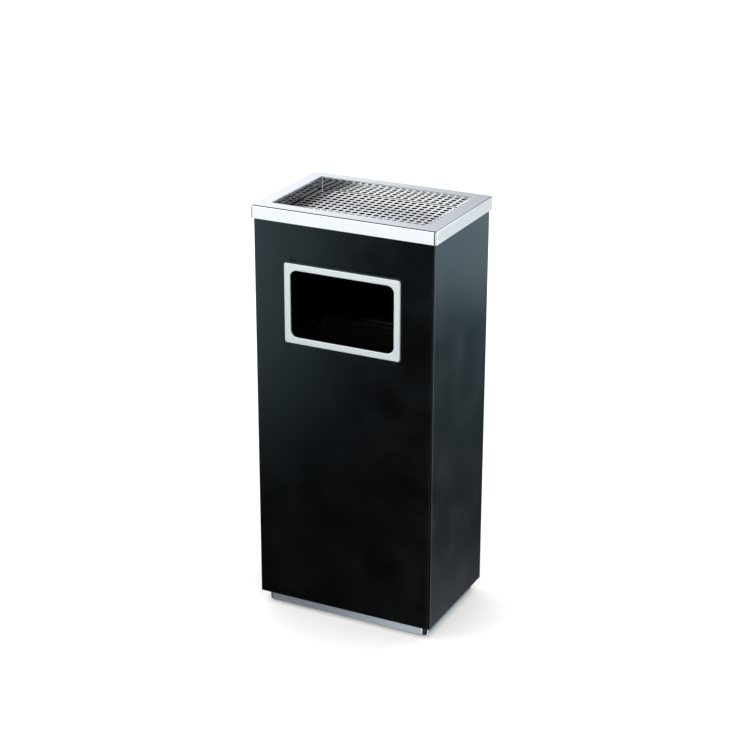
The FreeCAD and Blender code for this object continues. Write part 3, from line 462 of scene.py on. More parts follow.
@dataclass(frozen=True)
class PolishedSteel(Finish):
    """Stainless steel buffed to a mirror: clear reflections that swim a little, faint buffing lines."""

    metallic: float = 1.0
    haze_size: float = 40 * MM
    swim_size: float = 60 * MM
    swim: float = 0.010 * MM
    line_across: float = 0.35 * MM
    line_along: float = 60 * MM

    def detail(self, tree: Tree, shader: Node, place: Socket) -> None:
        """Hazy patches and buffing lines in the roughness, a slow swim in the relief.

        Args:
            tree: The material's tree.
            shader: Its Principled shader.
            place: Object coordinates, in metres.
        """
        haze = add_node(
            tree, "ShaderNodeTexNoise", {"Vector": place, "Scale": 1 / self.haze_size, "Detail": 3.0}
        ).outputs["Fac"]
        swim = add_node(
            tree, "ShaderNodeTexNoise", {"Vector": place, "Scale": 1 / self.swim_size, "Detail": 1.0}
        ).outputs["Fac"]
        stretch = (1 / self.line_along, 1 / self.line_across, 1 / self.line_across)
        turned = add_node(tree, "ShaderNodeMapping", {"Vector": place, "Scale": stretch}).outputs[0]
        lines = add_node(tree, "ShaderNodeTexNoise", {"Vector": turned, "Scale": 1.0, "Detail": 2.0})
        both = add_node(tree, "ShaderNodeMath", {0: haze, 1: lines.outputs["Fac"]}, operation="MULTIPLY")
        rough = add_node(
            tree, "ShaderNodeMapRange",
            {"Value": both.outputs[0], "From Min": 0.12, "From Max": 0.45,
             "To Min": self.roughness * 0.8, "To Max": self.roughness * 1.4},
        )
        self.lay(tree, shader, haze, rough.outputs[0], swim, self.swim)


@dataclass(frozen=True)
class PaintedShadeSteel(PolishedSteel):
    """Mirror-polished steel with painted shade, in brown, below a level."""

    # Colour of the painted shade below the top level
    painted_shade: str = "17110E"
    painted_shade_top: float = 0.589
    painted_shade_fade: float = 4 * MM
    painted_shade_roughness: float = 0.6
    painted_shade_metallic: float = 0.2

    def detail(self, tree: Tree, shader: Node, place: Socket) -> None:
        """The polished finish, with painted shade mixed in by height above the floor.

        Args:
            tree: The material's tree.
            shader: Its Principled shader.
            place: Object coordinates, in metres.
        """
        super().detail(tree, shader, place)
        height = add_node(tree, "ShaderNodeSeparateXYZ", {0: place}).outputs[2]
        painted_shade = add_node(
            tree, "ShaderNodeMapRange",
            {"Value": height, "From Min": self.painted_shade_top - self.painted_shade_fade, "From Max": self.painted_shade_top,
             "To Min": 1.0, "To Max": 0.0},
        ).outputs[0]
        unshaded_colour, clear = (shader.inputs[name].links[0].from_socket for name in ("Base Color", "Roughness"))
        brown = linear(self.painted_shade)
        colour = add_node(tree, "ShaderNodeMix", {0: painted_shade, 6: unshaded_colour, 7: brown}, data_type="RGBA")
        rough = add_node(tree, "ShaderNodeMix", {0: painted_shade, 2: clear, 3: self.painted_shade_roughness})
        metal = add_node(tree, "ShaderNodeMix", {0: painted_shade, 2: self.metallic, 3: self.painted_shade_metallic})
        tree.links.new(colour.outputs[2], shader.inputs["Base Color"])
        tree.links.new(rough.outputs[0], shader.inputs["Roughness"])
        tree.links.new(metal.outputs[0], shader.inputs["Metallic"])


@dataclass(frozen=True)
class SatinSteel(Finish):
    """Stainless steel brushed with a fine belt: level grain lines, a wide soft highlight."""

    metallic: float = 1.0
    grain_across: float = 0.5 * MM
    grain_along: float = 28 * MM
    patch_share: float = 0.35
    relief: float = 0.0015 * MM

    def detail(self, tree: Tree, shader: Node, place: Socket) -> None:
        """Grain that runs level, in colour, roughness and relief, over slow patches.

        Args:
            tree: The material's tree.
            shader: Its Principled shader.
            place: Object coordinates, in metres.
        """
        stretch = (1 / self.grain_along, 1 / self.grain_along, 1 / self.grain_across)
        turned = add_node(tree, "ShaderNodeMapping", {"Vector": place, "Scale": stretch}).outputs[0]
        grain = add_node(
            tree, "ShaderNodeTexNoise", {"Vector": turned, "Scale": 1.0, "Detail": 4.0}
        ).outputs["Fac"]
        patch = add_node(
            tree, "ShaderNodeTexNoise", {"Vector": place, "Scale": 1 / self.grain_along, "Detail": 2.0}
        ).outputs["Fac"]
        both = add_node(tree, "ShaderNodeMix", {0: self.patch_share, 2: grain, 3: patch})
        share = add_node(
            tree, "ShaderNodeMapRange", {"Value": both.outputs[0], "From Min": 0.3, "From Max": 0.7}
        ).outputs[0]
        rough = add_node(
            tree, "ShaderNodeMapRange",
            {"Value": share, "To Min": self.roughness * 0.85, "To Max": self.roughness * 1.2},
        )
        self.lay(tree, shader, share, rough.outputs[0], grain, self.relief)


@dataclass(frozen=True)
class Coating(Finish):
    """A coat on sheet steel: relief of one size, patches of duller coat, and a tint in its sheen."""

    relief_size: float = 4 * MM
    relief: float = 0.01 * MM
    patch_size: float = 60 * MM
    patch: float = 0.2
    sheen_tint: str = "FFFFFF"

    def detail(self, tree: Tree, shader: Node, place: Socket) -> None:
        """Relief from fine noise, roughness and colour from slow patches.

        Args:
            tree: The material's tree.
            shader: Its Principled shader.
            place: Object coordinates, in metres.
        """
        patch = add_node(
            tree, "ShaderNodeTexNoise", {"Vector": place, "Scale": 1 / self.patch_size, "Detail": 4.0}
        ).outputs["Fac"]
        fine = add_node(
            tree, "ShaderNodeTexNoise", {"Vector": place, "Scale": 1 / self.relief_size, "Detail": 2.0}
        ).outputs["Fac"]
        share = add_node(
            tree, "ShaderNodeMapRange", {"Value": patch, "From Min": 0.35, "From Max": 0.65}
        ).outputs[0]
        rough = add_node(
            tree, "ShaderNodeMapRange",
            {"Value": share, "To Min": self.roughness * (1 - self.patch),
             "To Max": self.roughness * (1 + self.patch)},
        )
        shader.inputs["Specular Tint"].default_value = linear(self.sheen_tint)
        self.lay(tree, shader, share, rough.outputs[0], fine, self.relief)


# Polished 304 stainless: a clear mirror, very slightly warm in its hazier patches.
MIRROR = PolishedSteel("polished_stainless_304", "F2F4F6", "EBEDEF", 0.045)
# The same steel in the basin, with painted shade in brown below the grate.
MIRROR_PAINTED_SHADE = PaintedShadeSteel("polished_stainless_304_painted_shade", "F2F4F6", "EBEDEF", 0.045)
# The same steel in the grate, with painted shade in brown on the walls of its holes and underneath.
GRATE_STEEL = PaintedShadeSteel(
    "stainless_grate_painted_shade", "F6F7F8", "EFF0F1", 0.05, painted_shade_top=0.59185, painted_shade_fade=0.12 * MM
)
# Belt-brushed 304 stainless: paler and softer than the mirror, with level grain.
SATIN = SatinSteel("brushed_stainless_304", "FAFEFE", "F0F6F6", 0.33)
# Stoved enamel on sheet steel: deep black, a clear cool gloss with a faint orange peel.
ENAMEL = Coating("stoved_black_enamel", "020203", "040406", 0.11, relief_size=5 * MM, relief=0.002 * MM,
                 sheen_tint="E0F8FF")
# Polyester powder coat: dry black with a close, fine texture.
POWDER = Coating("black_powder_coat", "0A0A0B", "101012", 0.6, relief_size=1.6 * MM, relief=0.05 * MM)
# Zinc plate: a cool grey metal with a mottled bloom.
ZINC = Coating("bright_zinc_plate", "B9BEC4", "A3A8AC", 0.34, 1.0, relief_size=1.5 * MM, relief=0.008 * MM,
               patch_size=5 * MM)
# Drawn wire, blackened: dark, half-dull metal.
WIRE = Coating("blackened_drawn_wire", "3A3B3E", "2B2C2F", 0.38, 1.0, relief_size=2.5 * MM,
               relief=0.01 * MM, patch_size=12 * MM)
# Moulded rubber: near black with a dry bloom.
RUBBER = Coating("moulded_black_rubber", "141415", "202022", 0.72, relief_size=0.9 * MM, relief=0.04 * MM,
                 patch_size=9 * MM)
# Injection-moulded polypropylene: black, a fine spark-eroded texture.
PLASTIC = Coating("moulded_black_polypropylene", "161618", "1E1E21", 0.48, relief_size=0.8 * MM,
                  relief=0.02 * MM, patch_size=20 * MM)


@dataclass(frozen=True)
class Piece:
    """A new visible piece: its name, what it stands for, the body it rides on and its finish."""

    name: str
    body: str
    slot: str
    finish: Finish
    nodes: tuple[str, ...]

    def make(self, shape: Shape) -> bpy.types.Object:
        """Turns a shape into the piece, dressed, riding on its body and standing for its nodes.

        Args:
            shape: The closed shape, in the frame.

        Returns:
            The new object.
        """
        piece = shape.to_object(self.name)
        piece.data.materials.append(self.finish.material())
        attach(piece, self.body)
        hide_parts(*self.nodes)
        LOG.info("%s: %d points, %s", self.name, len(piece.data.vertices), self.finish.name)
        return piece


def dress(finish: Finish, *nodes: str) -> None:
    """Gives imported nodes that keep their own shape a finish.

    Args:
        finish: The finish.
        nodes: Names of the nodes.
    """
    for name in nodes:
        for material_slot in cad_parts[name].material_slots:
            material_slot.material = finish.material()
        LOG.info("%s: packed shape, %s", name, finish.name)


def middle_of(node: str) -> Vector:
    """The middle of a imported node's box."""
    low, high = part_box(node)
    return (low + high) / 2


def half_of(node: str) -> Vector:
    """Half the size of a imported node's box."""
    low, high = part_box(node)
    return (high - low) / 2


# --- cabinet -----------------------------------------------------------------------------------------


@dataclass
class Foot:
    """A turned rubber foot."""

    top: float = 13.0 * MM
    base: float = 11.0 * MM
    seat: float = 6.1 * MM
    bore: float = 2.6 * MM
    seat_top: float = 9.0 * MM
    ease: float = 0.6 * MM
    rib: float = 0.28 * MM
    ribs: int = 5

    def turned(self, node: str) -> Shape:
        """A cone with ribs round it, a round lower edge and a deep seat for its screw.

        The side's radius runs evenly from base to top, plus rib * (1 - cos(ribs turns)) / 2, dying
        away to nought at both ends by sin(pi * height).

        Args:
            node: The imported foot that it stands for.

        Returns:
            The foot, in its place.
        """
        tall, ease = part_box(node)[1].z, self.ease
        side = np.linspace(0, 1, 33)[1:-1]
        cone = self.base + (self.top - self.base) * side
        waves = 0.5 - 0.5 * np.cos(side * 2 * math.pi * self.ribs)
        cone -= self.rib * waves * np.sin(math.pi * side)
        outside = np.stack([self.top - cone, side * tall], axis=-1)
        bore, seat, base = (self.top - radius for radius in (self.bore, self.seat, self.base))
        line = [
            (bore, tall), (bore, self.seat_top), (seat, self.seat_top), (seat, ease), (seat - ease, 0.0),
            (base + 2 * ease, 0.0), (base + ease, 0.3 * ease), (base + 0.3 * ease, ease),
        ]
        profile = np.concatenate([line, outside, [[0.4 * ease, tall - 0.4 * ease], [ease, tall]]])
        middle = middle_of(node)
        return carry(ring(self.top), profile, arc_steps=9).moved(middle.x, middle.y, 0.0)


@dataclass
class Cabinet:
    """The painted shell with its joint at the back, the plinth, the feet and what is inside them."""

    wall: float = 1.0 * MM
    bend: float = 2.5 * MM
    joint_gap: float = 0.8 * MM
    cut_margin: float = 1.5 * MM
    border: float = 10.0 * MM
    mesh_step: float = 9.0 * MM
    edge: float = 0.25 * MM
    swell: float = 0.22 * MM
    plinth_corner: float = 8.0 * MM
    plinth_return: float = 10.0 * MM
    plinth_lean: float = 0.9 * MM
    plinth_bend: float = 1.2 * MM
    rivet_radius: float = 3.2 * MM
    rivet_rise: float = 1.1 * MM
    rivet_rim_rise: float = 0.33 * MM
    rivet_sunk: float = 0.1 * MM
    rivet_rows: int = 7

    def swelling(self, across: np.ndarray, up: np.ndarray, seed: float) -> np.ndarray:
        """How far a panel stands off flat: a few slow waves, dying away at its folded edges.

        The height is a sum of three products of sines, times sin(pi * across) * sin(pi * up).

        Args:
            across: Place across the panel, 0 to 1.
            up: Place up the panel, 0 to 1.
            seed: A number that gives each panel its own waves.

        Returns:
            The height of each point, in metres.
        """
        waves = (
            np.sin(3.1 * across + 4.3 * up + seed)
            + 0.6 * np.sin(7.0 * up - 2.2 * across + 2.0 * seed)
            + 0.4 * np.cos(5.2 * across + 9.5 * up + 3.0 * seed)
        )
        fade = np.sin(math.pi * np.clip(across, 0, 1)) * np.sin(math.pi * np.clip(up, 0, 1))
        return self.swell * 0.5 * waves * fade

    def shell(self) -> Shape:
        """The wrapped sheet, from one side of the back joint round to the other, with the mouth cut out.

        The surface is S(u, v) = outline(u) + normal(u) * swelling(u, v), at height v, and the same
        moved inwards by the wall.

        Returns:
            The closed sheet.
        """
        low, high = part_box("body_shell")
        trim_low, trim_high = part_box("opening_trim")
        half_x, half_y = high.x, high.y
        flat_x, flat_y = half_x - self.bend, half_y - self.bend
        cut_x = trim_high.x - self.border + self.cut_margin
        sills = (trim_low.z + self.border - self.cut_margin, trim_high.z - self.border + self.cut_margin)
        joint = self.joint_gap / 2
        runs = [
            (spans((-joint, -joint - self.edge, -flat_x), self.mesh_step), 90),
            (spans((flat_y, -flat_y), self.mesh_step), 180),
            (spans((-flat_x, -cut_x, cut_x, flat_x), self.mesh_step), 270),
            (spans((-flat_y, flat_y), self.mesh_step), 360),
            (spans((flat_x, joint + self.edge, joint), self.mesh_step), 450),
        ]
        spots, normals, across, seeds = [], [], [], []
        for turn, (run, degrees) in enumerate(runs):
            angle = math.radians(degrees)
            normal = np.array([math.cos(angle), math.sin(angle)])
            level = abs(normal[1]) > 0.5
            fixed = np.full(len(run), (half_y if level else half_x) * normal[1 if level else 0])
            spots.append(np.stack([run, fixed] if level else [fixed, run], axis=-1))
            normals.append(np.tile(normal, (len(run), 1)))
            across.append((run + (flat_x if level else flat_y)) / (2 * (flat_x if level else flat_y)))
            seeds.append(np.full(len(run), 1.7 * (degrees % 360) / 90))
            if turn == len(runs) - 1:
                break
            arc = angle + np.linspace(0, math.pi / 2, 7)[1:-1]
            normal = np.stack([np.cos(arc), np.sin(arc)], axis=-1)
            centre = np.sign(np.round(normal.mean(axis=0), 6)) * np.array([flat_x, flat_y])
            spots.append(centre + self.bend * normal)
            normals.append(normal)
            across.append(np.zeros(len(arc)))
            seeds.append(np.zeros(len(arc)))
        spot, normal = np.concatenate(spots), np.concatenate(normals)
        heights = spans((low.z, low.z + self.edge, *sills, high.z - self.edge, high.z), 2 * self.mesh_step)
        up = (heights - low.z) / (high.z - low.z)
        swell = self.swelling(np.concatenate(across)[None, :], up[:, None], np.concatenate(seeds)[None, :])
        grids = []
        for depth in (0.0, self.wall):
            flat = spot[None] + normal[None] * (swell - depth)[..., None]
            tall = np.broadcast_to(heights[:, None, None], (*flat.shape[:2], 1))
            grids.append(np.concatenate([flat, tall], axis=-1).reshape(-1, 3))
        return self.stitch(np.concatenate(grids), len(heights), len(spot), spot, heights, cut_x, sills)

    def stitch(
        self, points: np.ndarray, rows: int, columns: int, spot: np.ndarray, heights: np.ndarray,
        cut_x: float, sills: tuple[float, float],
    ) -> Shape:
        """Joins the outer and inner grids of the shell into one closed sheet with a mouth in it.

        Args:
            points: The outer grid's points, then the inner grid's.
            rows: Rows in a grid.
            columns: Points in a row.
            spot: Where each column stands, as X and Y.
            heights: Height of each row.
            cut_x: Half the mouth's cut.
            sills: Heights of the cut's lower and upper edge.

        Returns:
            The closed sheet.
        """
        number = np.arange(rows * columns).reshape(rows, columns)
        face = grid_quads(rows, columns, False, False).reshape(rows - 1, columns - 1, 4)
        in_front = (spot[:, 1] < 0) & (np.abs(spot[:, 0]) < cut_x + SNAP)
        gap_columns = in_front[:-1] & in_front[1:]
        inside = (heights > sills[0] - SNAP) & (heights < sills[1] + SNAP)
        gap_rows = inside[:-1] & inside[1:]
        solid = ~(gap_rows[:, None] & gap_columns[None, :])
        outer = face[solid]
        inner = outer[:, ::-1] + rows * columns
        column = np.flatnonzero(in_front)
        row = np.flatnonzero(inside)
        hole = np.concatenate([
            number[row[0], column], number[row[1:], column[-1]],
            number[row[-1], column[-2::-1]], number[row[-2:0:-1], column[0]],
        ])
        rim = np.concatenate([number[0, :], number[1:, -1], number[-1, -2::-1], number[-2:0:-1, 0]])
        strips = []
        for loop, order in ((rim, 1), (hole, -1)):
            ahead = np.roll(loop, -1)
            strip = np.stack([ahead, loop, loop + rows * columns, ahead + rows * columns], axis=-1)
            strips.append(strip[:, ::order])
        return Shape(points, np.concatenate([outer, inner, *strips]))

    def plinth(self) -> Shape:
        """The band round the foot: a straight face, eased at its lower edge, turned in at the top.

        Its section is a bent sheet, carried round the plinth's outline.

        Returns:
            The band.
        """
        low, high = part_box("plinth_band")
        wrap = Wrap(high.x, high.y, (0.0, 0.99 * self.plinth_corner, self.plinth_return),
                    (self.plinth_corner, 0.01 * self.plinth_corner, 0.01 * self.plinth_corner))
        line = [(self.plinth_lean, low.z), (0.0, high.z), (self.plinth_return, high.z)]
        return carry(wrap, sheet(line, [self.plinth_bend], -self.wall), arc_steps=10)

    def rivets(self) -> Shape:
        """Domed heads in two columns down the back joint: a low sphere cap on a short rim.

        At an angle t from the rim, inset = radius * (1 - cos t) and height = rim + rest of rise * sin t.

        Returns:
            All the heads.
        """
        low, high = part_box("seam_rivets")
        shell_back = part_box("body_shell")[1].y
        angle = np.linspace(0, math.pi / 2, 6)[:-1]
        dome = np.stack([
            self.rivet_radius * (1 - np.cos(angle)),
            self.rivet_rim_rise + (self.rivet_rise - self.rivet_rim_rise) * np.sin(angle),
        ], axis=-1)
        profile = np.concatenate([[[0.0, -self.rivet_sunk]], dome])
        head = carry(ring(self.rivet_radius), profile, Facing.FRONT, Ends.CAPPED, arc_steps=3)
        column = high.x - self.rivet_radius
        levels = np.linspace(low.z + self.rivet_radius, high.z - self.rivet_radius, self.rivet_rows)
        return Shape.joined([head.moved(x, shell_back, z) for x in (-column, column) for z in levels])

    def build(self) -> None:
        """Makes the cabinet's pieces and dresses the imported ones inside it."""
        Piece("cabinet_shell", "cabinet", "black_paint", ENAMEL, ("body_shell",)).make(self.shell())
        Piece("plinth", "cabinet", "polished_stainless", MIRROR, ("plinth_band",)).make(self.plinth())
        Piece("back_joint_rivets", "cabinet", "black_paint", ENAMEL, ("seam_rivets",)).make(self.rivets())
        for node in ("foot_front_left", "foot_front_right", "foot_back_right", "foot_back_left"):
            Piece("rubber_" + node, "cabinet", "foot_rubber", RUBBER, (node,)).make(Foot().turned(node))
        dress(ENAMEL, "back_seam_strip", "top_frame", "base_pan")
        dress(ZINC, "plinth_rivets", "foot_screws", "foot_washers", "foot_nuts")


# --- mouth trim --------------------------------------------------------------------------------------


@dataclass
class MouthTrim:
    """The pressed stainless frame round the mouth and what clamps it from inside."""

    wall: float = 1.0 * MM
    border: float = 10.0 * MM
    outer_corner: float = 4.0 * MM
    mouth_corner: float = 10.0 * MM
    fold: float = 1.1 * MM
    # Depth behind the trim's face from which its lip carries painted shade
    painted_shade_depth: float = 4.0 * MM

    def frame(self) -> Shape:
        """A channel section carried round the mouth.

        Returns:
            The frame.
        """
        low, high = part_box("opening_trim")
        shell_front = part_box("body_shell")[0].y
        outer, mouth = self.outer_corner, self.mouth_corner
        wrap = Wrap(
            high.x, half_of("opening_trim").z, (0.0, self.fold, self.border - self.fold, self.border),
            (outer, outer - self.fold, mouth + self.fold, mouth),
        )
        line = [(0.0, shell_front), (0.0, low.y), (self.border, low.y), (self.border, high.y)]
        section = sheet(line, [self.fold, self.fold], self.wall, steps=8)
        shape = carry(wrap, section, Facing.FRONT, arc_steps=10)
        return shape.moved(z=middle_of("opening_trim").z)

    def build(self) -> None:
        """Makes the trim, with black enamel inside its lip as painted shade, and dresses its studs, backing
        frame and nuts.
        """
        trim = Piece(
            "mouth_trim", "cabinet", "satin_stainless", SATIN, ("opening_trim",)
        ).make(self.frame())
        # Faces deep inside the lip get the black enamel: painted shade.
        trim.data.materials.append(ENAMEL.material())
        middles = np.empty(3 * len(trim.data.polygons))
        trim.data.polygons.foreach_get("center", middles)
        deep = middles[1::3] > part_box("opening_trim")[0].y + self.painted_shade_depth
        trim.data.polygons.foreach_set("material_index", deep.astype(int))
        dress(ZINC, "trim_studs", "trim_nuts")
        dress(ENAMEL, "trim_backing_frame")


# --- ash tray ----------------------------------------------------------------------------------------


@dataclass
class AshTray:
    """The polished rim with its skirt, and the basin that hangs in it."""

    wall: float = 1.0 * MM
    basin_wall: float = 0.8 * MM
    flange: float = 22.0 * MM
    skirt_corner: float = 4.5 * MM
    opening_corner: float = 2.5 * MM
    fold: float = 2.0 * MM
    lip_fold: float = 1.1 * MM
    lip_depth: float = 4.0 * MM
    lean: float = 0.7 * MM
    basin_bend: float = 3.0 * MM
    floor_inset: float = 30.0 * MM
    floor_corner: float = 2.4 * MM
    parallel: float = 2.0 * MM

    def wrap(self) -> Wrap:
        """The rim's outline: round corners at its skirt and its opening, parallel just inside each."""
        half, run = half_of("tray_rim"), self.parallel
        return Wrap(
            half.x, half.y, (0.0, run, self.flange - run, self.flange),
            (self.skirt_corner, self.skirt_corner - run, self.opening_corner + run, self.opening_corner),
        )

    def rim(self) -> Shape:
        """Skirt, fold, flat top and lip in one section, carried round the top of the bin.

        Returns:
            The rim.
        """
        low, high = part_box("tray_rim")
        line = [
            (0.0, low.z), (self.lean, high.z), (self.flange, high.z),
            (self.flange, high.z - self.lip_depth),
        ]
        section = sheet(line, [self.fold, self.lip_fold], -self.wall, steps=8)
        return carry(self.wrap(), section, arc_steps=10)

    def basin(self) -> Shape:
        """A box with a bend round its floor, hung outside the rim's lip.

        Its section goes up the outside and down the inside, and a flat floor closes both in the middle.

        Returns:
            The basin.
        """
        low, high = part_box("ash_basin")
        inner = self.flange - self.wall
        outer, floor = inner - self.basin_wall, self.floor_inset
        line = [(inner, high.z), (inner, low.z + self.basin_wall), (floor, low.z + self.basin_wall)]
        inside, _ = bent(line, [self.basin_bend - self.basin_wall])
        line = [(floor, low.z), (outer, low.z), (outer, high.z)]
        outside, _ = bent(line, [self.basin_bend])
        half, corner = half_of("tray_rim"), self.opening_corner + self.wall
        wrap = Wrap(
            half.x, half.y, (outer, inner, inner + self.parallel, floor),
            (corner + self.basin_wall, corner, self.floor_corner, self.floor_corner),
        )
        profile = np.concatenate([outside, inside])
        return carry(wrap, profile, ends=Ends.CAPPED, arc_steps=8)

    def build(self) -> None:
        """Makes the rim and the basin and dresses the ledges."""
        Piece("tray_top", "ash_tray", "polished_stainless", MIRROR, ("tray_rim",)).make(self.rim())
        # The basin and the grate ledges carry painted shade below the grate's level.
        Piece("basin", "ash_tray", "polished_stainless", MIRROR_PAINTED_SHADE, ("ash_basin",)).make(self.basin())
        dress(MIRROR_PAINTED_SHADE, "grate_ledges")


@dataclass
class Grate:
    """The punched plate that lies in the basin."""

    pitch: float = 10.8 * MM
    hole: float = 7.4 * MM
    margin: float = 3.0 * MM
    hole_corner: float = 0.9 * MM
    ease: float = 0.22 * MM
    crown: float = 0.02 * MM
    stop: float = 0.55
    corner_cut: float = 0.6 * MM

    def tile(self, low: float, high: float) -> np.ndarray:
        """One hole and half the bar on each side of it: five square rings of twelve points.

        Ring 0 is the middle of the bars on top, 1 the hole's upper edge, 2 the foot of that edge's
        bevel, 3 the hole's lower edge and 4 the middle of the bars underneath.

        Args:
            low: Height of the plate's underside.
            high: Height of its face.

        Returns:
            Rings by points by three, centred on the hole.
        """
        cell, hole = self.pitch / 2, self.hole / 2
        sizes = np.array([cell, hole + self.ease, hole, hole, cell])
        rounds = np.array([0.0, self.hole_corner + self.ease, self.hole_corner, self.hole_corner, 0.0])
        levels = np.array([high, high - self.crown, high - self.crown - self.ease, low, low])
        flat = sizes - rounds
        flat[[0, 4]] = self.stop * cell
        diagonal = sizes - rounds * (1 - math.sqrt(0.5))
        corner = np.stack([
            np.stack([sizes, flat], axis=-1), np.stack([diagonal, diagonal], axis=-1),
            np.stack([flat, sizes], axis=-1),
        ], axis=1)
        turns = [np.array([[c, -s], [s, c]]) for c, s in ((1, 0), (0, 1), (-1, 0), (0, -1))]
        rounds_of_points = np.concatenate([corner @ turn.T for turn in turns], axis=1)
        height = np.broadcast_to(levels[:, None, None], (5, 12, 1))
        return np.concatenate([rounds_of_points, height], axis=-1)

    def border(self, rows: tuple[int, int], half: Vector, low: float, high: float) -> Shape:
        """The solid edge of the plate, from the outermost bars to its outline.

        Args:
            rows: Holes along X and along Y.
            half: Half the plate's size.
            low: Height of its underside.
            high: Height of its face.

        Returns:
            An open band that meets the outermost tiles.
        """
        block = np.array([rows[0] * self.pitch / 2, rows[1] * self.pitch / 2])
        cell = self.pitch / 2
        marks = np.array([-1.0, -self.stop, self.stop])
        side = [
            np.concatenate([(np.arange(n) * 2 - n + 1)[:, None] * cell + marks * cell], axis=None)
            for n in rows
        ]
        loop = np.concatenate([
            np.stack([side[0], np.full(len(side[0]), -block[1])], axis=-1),
            np.stack([np.full(len(side[1]), block[0]), side[1]], axis=-1),
            np.stack([-side[0], np.full(len(side[0]), block[1])], axis=-1),
            np.stack([np.full(len(side[1]), -block[0]), -side[1]], axis=-1),
        ])
        outer = np.array([half.x, half.y])
        at_edge = np.isclose(np.abs(loop), block)
        out = np.where(at_edge, np.sign(loop) * outer, loop)
        both = at_edge.all(axis=1)
        out[both] -= np.sign(loop[both]) * self.corner_cut
        inset = out - np.where(at_edge, np.sign(loop) * self.ease, 0.0)
        rings = [(loop, high), (inset, high), (out, high - self.ease), (out, low), (loop, low)]
        points = np.concatenate([np.column_stack([flat, np.full(len(flat), z)]) for flat, z in rings])
        return Shape(points, grid_quads(len(rings), len(loop), False, True))

    def plate(self) -> Shape:
        """Tiles in rows both ways, welded along the middles of the bars, inside their border.

        Returns:
            The plate.
        """
        low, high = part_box("grate_plate")
        half = half_of("grate_plate")
        spare = 2 * self.margin + self.hole - self.pitch
        rows = tuple(math.floor((2 * size - spare) / self.pitch + 1e-6) for size in (half.x, half.y))
        places = [(np.arange(n) * 2 - n + 1) * self.pitch / 2 for n in rows]
        centres = np.stack(np.meshgrid(*places, indexing="ij"), axis=-1).reshape(-1, 1, 1, 2)
        tile = self.tile(low.z, high.z)
        many = np.broadcast_to(tile, (len(centres), *tile.shape)).copy()
        many[..., :2] += centres
        faces = grid_quads(5, 12, False, True)
        starts = np.arange(len(centres))[:, None, None] * 60
        holes = Shape(many.reshape(-1, 3), (faces[None] + starts).reshape(-1, 4))
        border = self.border(rows, half, low.z, high.z)
        LOG.info("grate_plate: %d by %d holes", *rows)
        return Shape.joined([holes, Shape(border.points, border.quads[:, ::-1])]).welded()

    def build(self) -> None:
        """Makes the plate."""
        # The grate's hole walls and underside carry painted shade.
        Piece("grate", "grate", "polished_stainless", GRATE_STEEL, ("grate_plate",)).make(self.plate())


# --- liner -------------------------------------------------------------------------------------------


@dataclass
class Liner:
    """The loose liner: a wall rolled over a wire at the top, a pressed floor, and ears for the bail."""

    wall: float = 0.8 * MM
    corner: float = 12.0 * MM
    wire_radius: float = 1.5 * MM
    wire_slack: float = 0.1 * MM
    inner_corner: float = 0.2 * MM
    roll_run: float = 2.0 * MM
    ear_corner: float = 5.0 * MM
    ear_ease: float = 0.25 * MM

    def outline(self) -> Wrap:
        """The wall's outside, and how its corners open out over the roll.

        Returns:
            The outline that the wall's section is carried round.
        """
        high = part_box("liner_body")[1]
        roll = 2 * (self.wire_radius + self.wire_slack) + self.wall
        reach = 8 * roll
        return Wrap(
            high.x - roll, high.y - roll, (-reach, self.corner - self.inner_corner, self.corner),
            (self.corner + reach, self.inner_corner, self.inner_corner),
        )

    def body(self) -> Shape:
        """The wall, rolled out and down at the top through three quarters of a circle.

        The roll is two arcs about one centre: centre + radius * (-cos t, sin t), inside and outside.

        Returns:
            The wall with its roll.
        """
        low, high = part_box("liner_body")
        bore = self.wire_radius + self.wire_slack
        outside = bore + self.wall
        roll = -np.radians(np.linspace(-180, 45, 19))
        centre = np.array([-bore, high.z - outside])
        circle = np.stack([-np.cos(roll), np.sin(roll)], axis=-1)
        outer = centre - outside * circle * np.array([1, -1])
        inner = centre - bore * circle * np.array([1, -1])
        straight = high.z - outside - self.roll_run
        inside_wall = [[self.wall, low.z], [self.wall, straight]]
        profile = np.concatenate([inside_wall, outer, inner[::-1], [[0.0, straight], [0.0, low.z]]])
        return carry(self.outline(), profile, arc_steps=8)

    def ear(self, node: str) -> Shape:
        """A plate with round corners and eased edges.

        Args:
            node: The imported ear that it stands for.

        Returns:
            The ear, in its place.
        """
        half, middle, ease = half_of(node), middle_of(node), self.ear_ease
        wrap = Wrap(half.y, half.z, (0.0, self.ear_corner), (self.ear_corner, 0.0))
        profile = np.array([
            [2 * ease, -half.x], [ease, -half.x], [0, ease - half.x], [0, half.x - ease], [ease, half.x],
            [2 * ease, half.x],
        ])
        shape = carry(wrap, profile, Facing.ENDWAYS, Ends.CAPPED, arc_steps=6)
        return shape.moved(middle.x, middle.y, middle.z)

    def build(self) -> None:
        """Makes the liner's pieces and dresses the wire and rivets."""
        Piece("liner_wall", "liner", "black_powder_coat", POWDER, ("liner_body",)).make(self.body())
        for side in ("left", "right"):
            node = "bail_ear_" + side
            Piece("ear_" + side, "liner", "black_powder_coat", POWDER, (node,)).make(self.ear(node))
        dress(POWDER, "liner_floor")
        dress(ZINC, "liner_rim_wire", "ear_rivets")


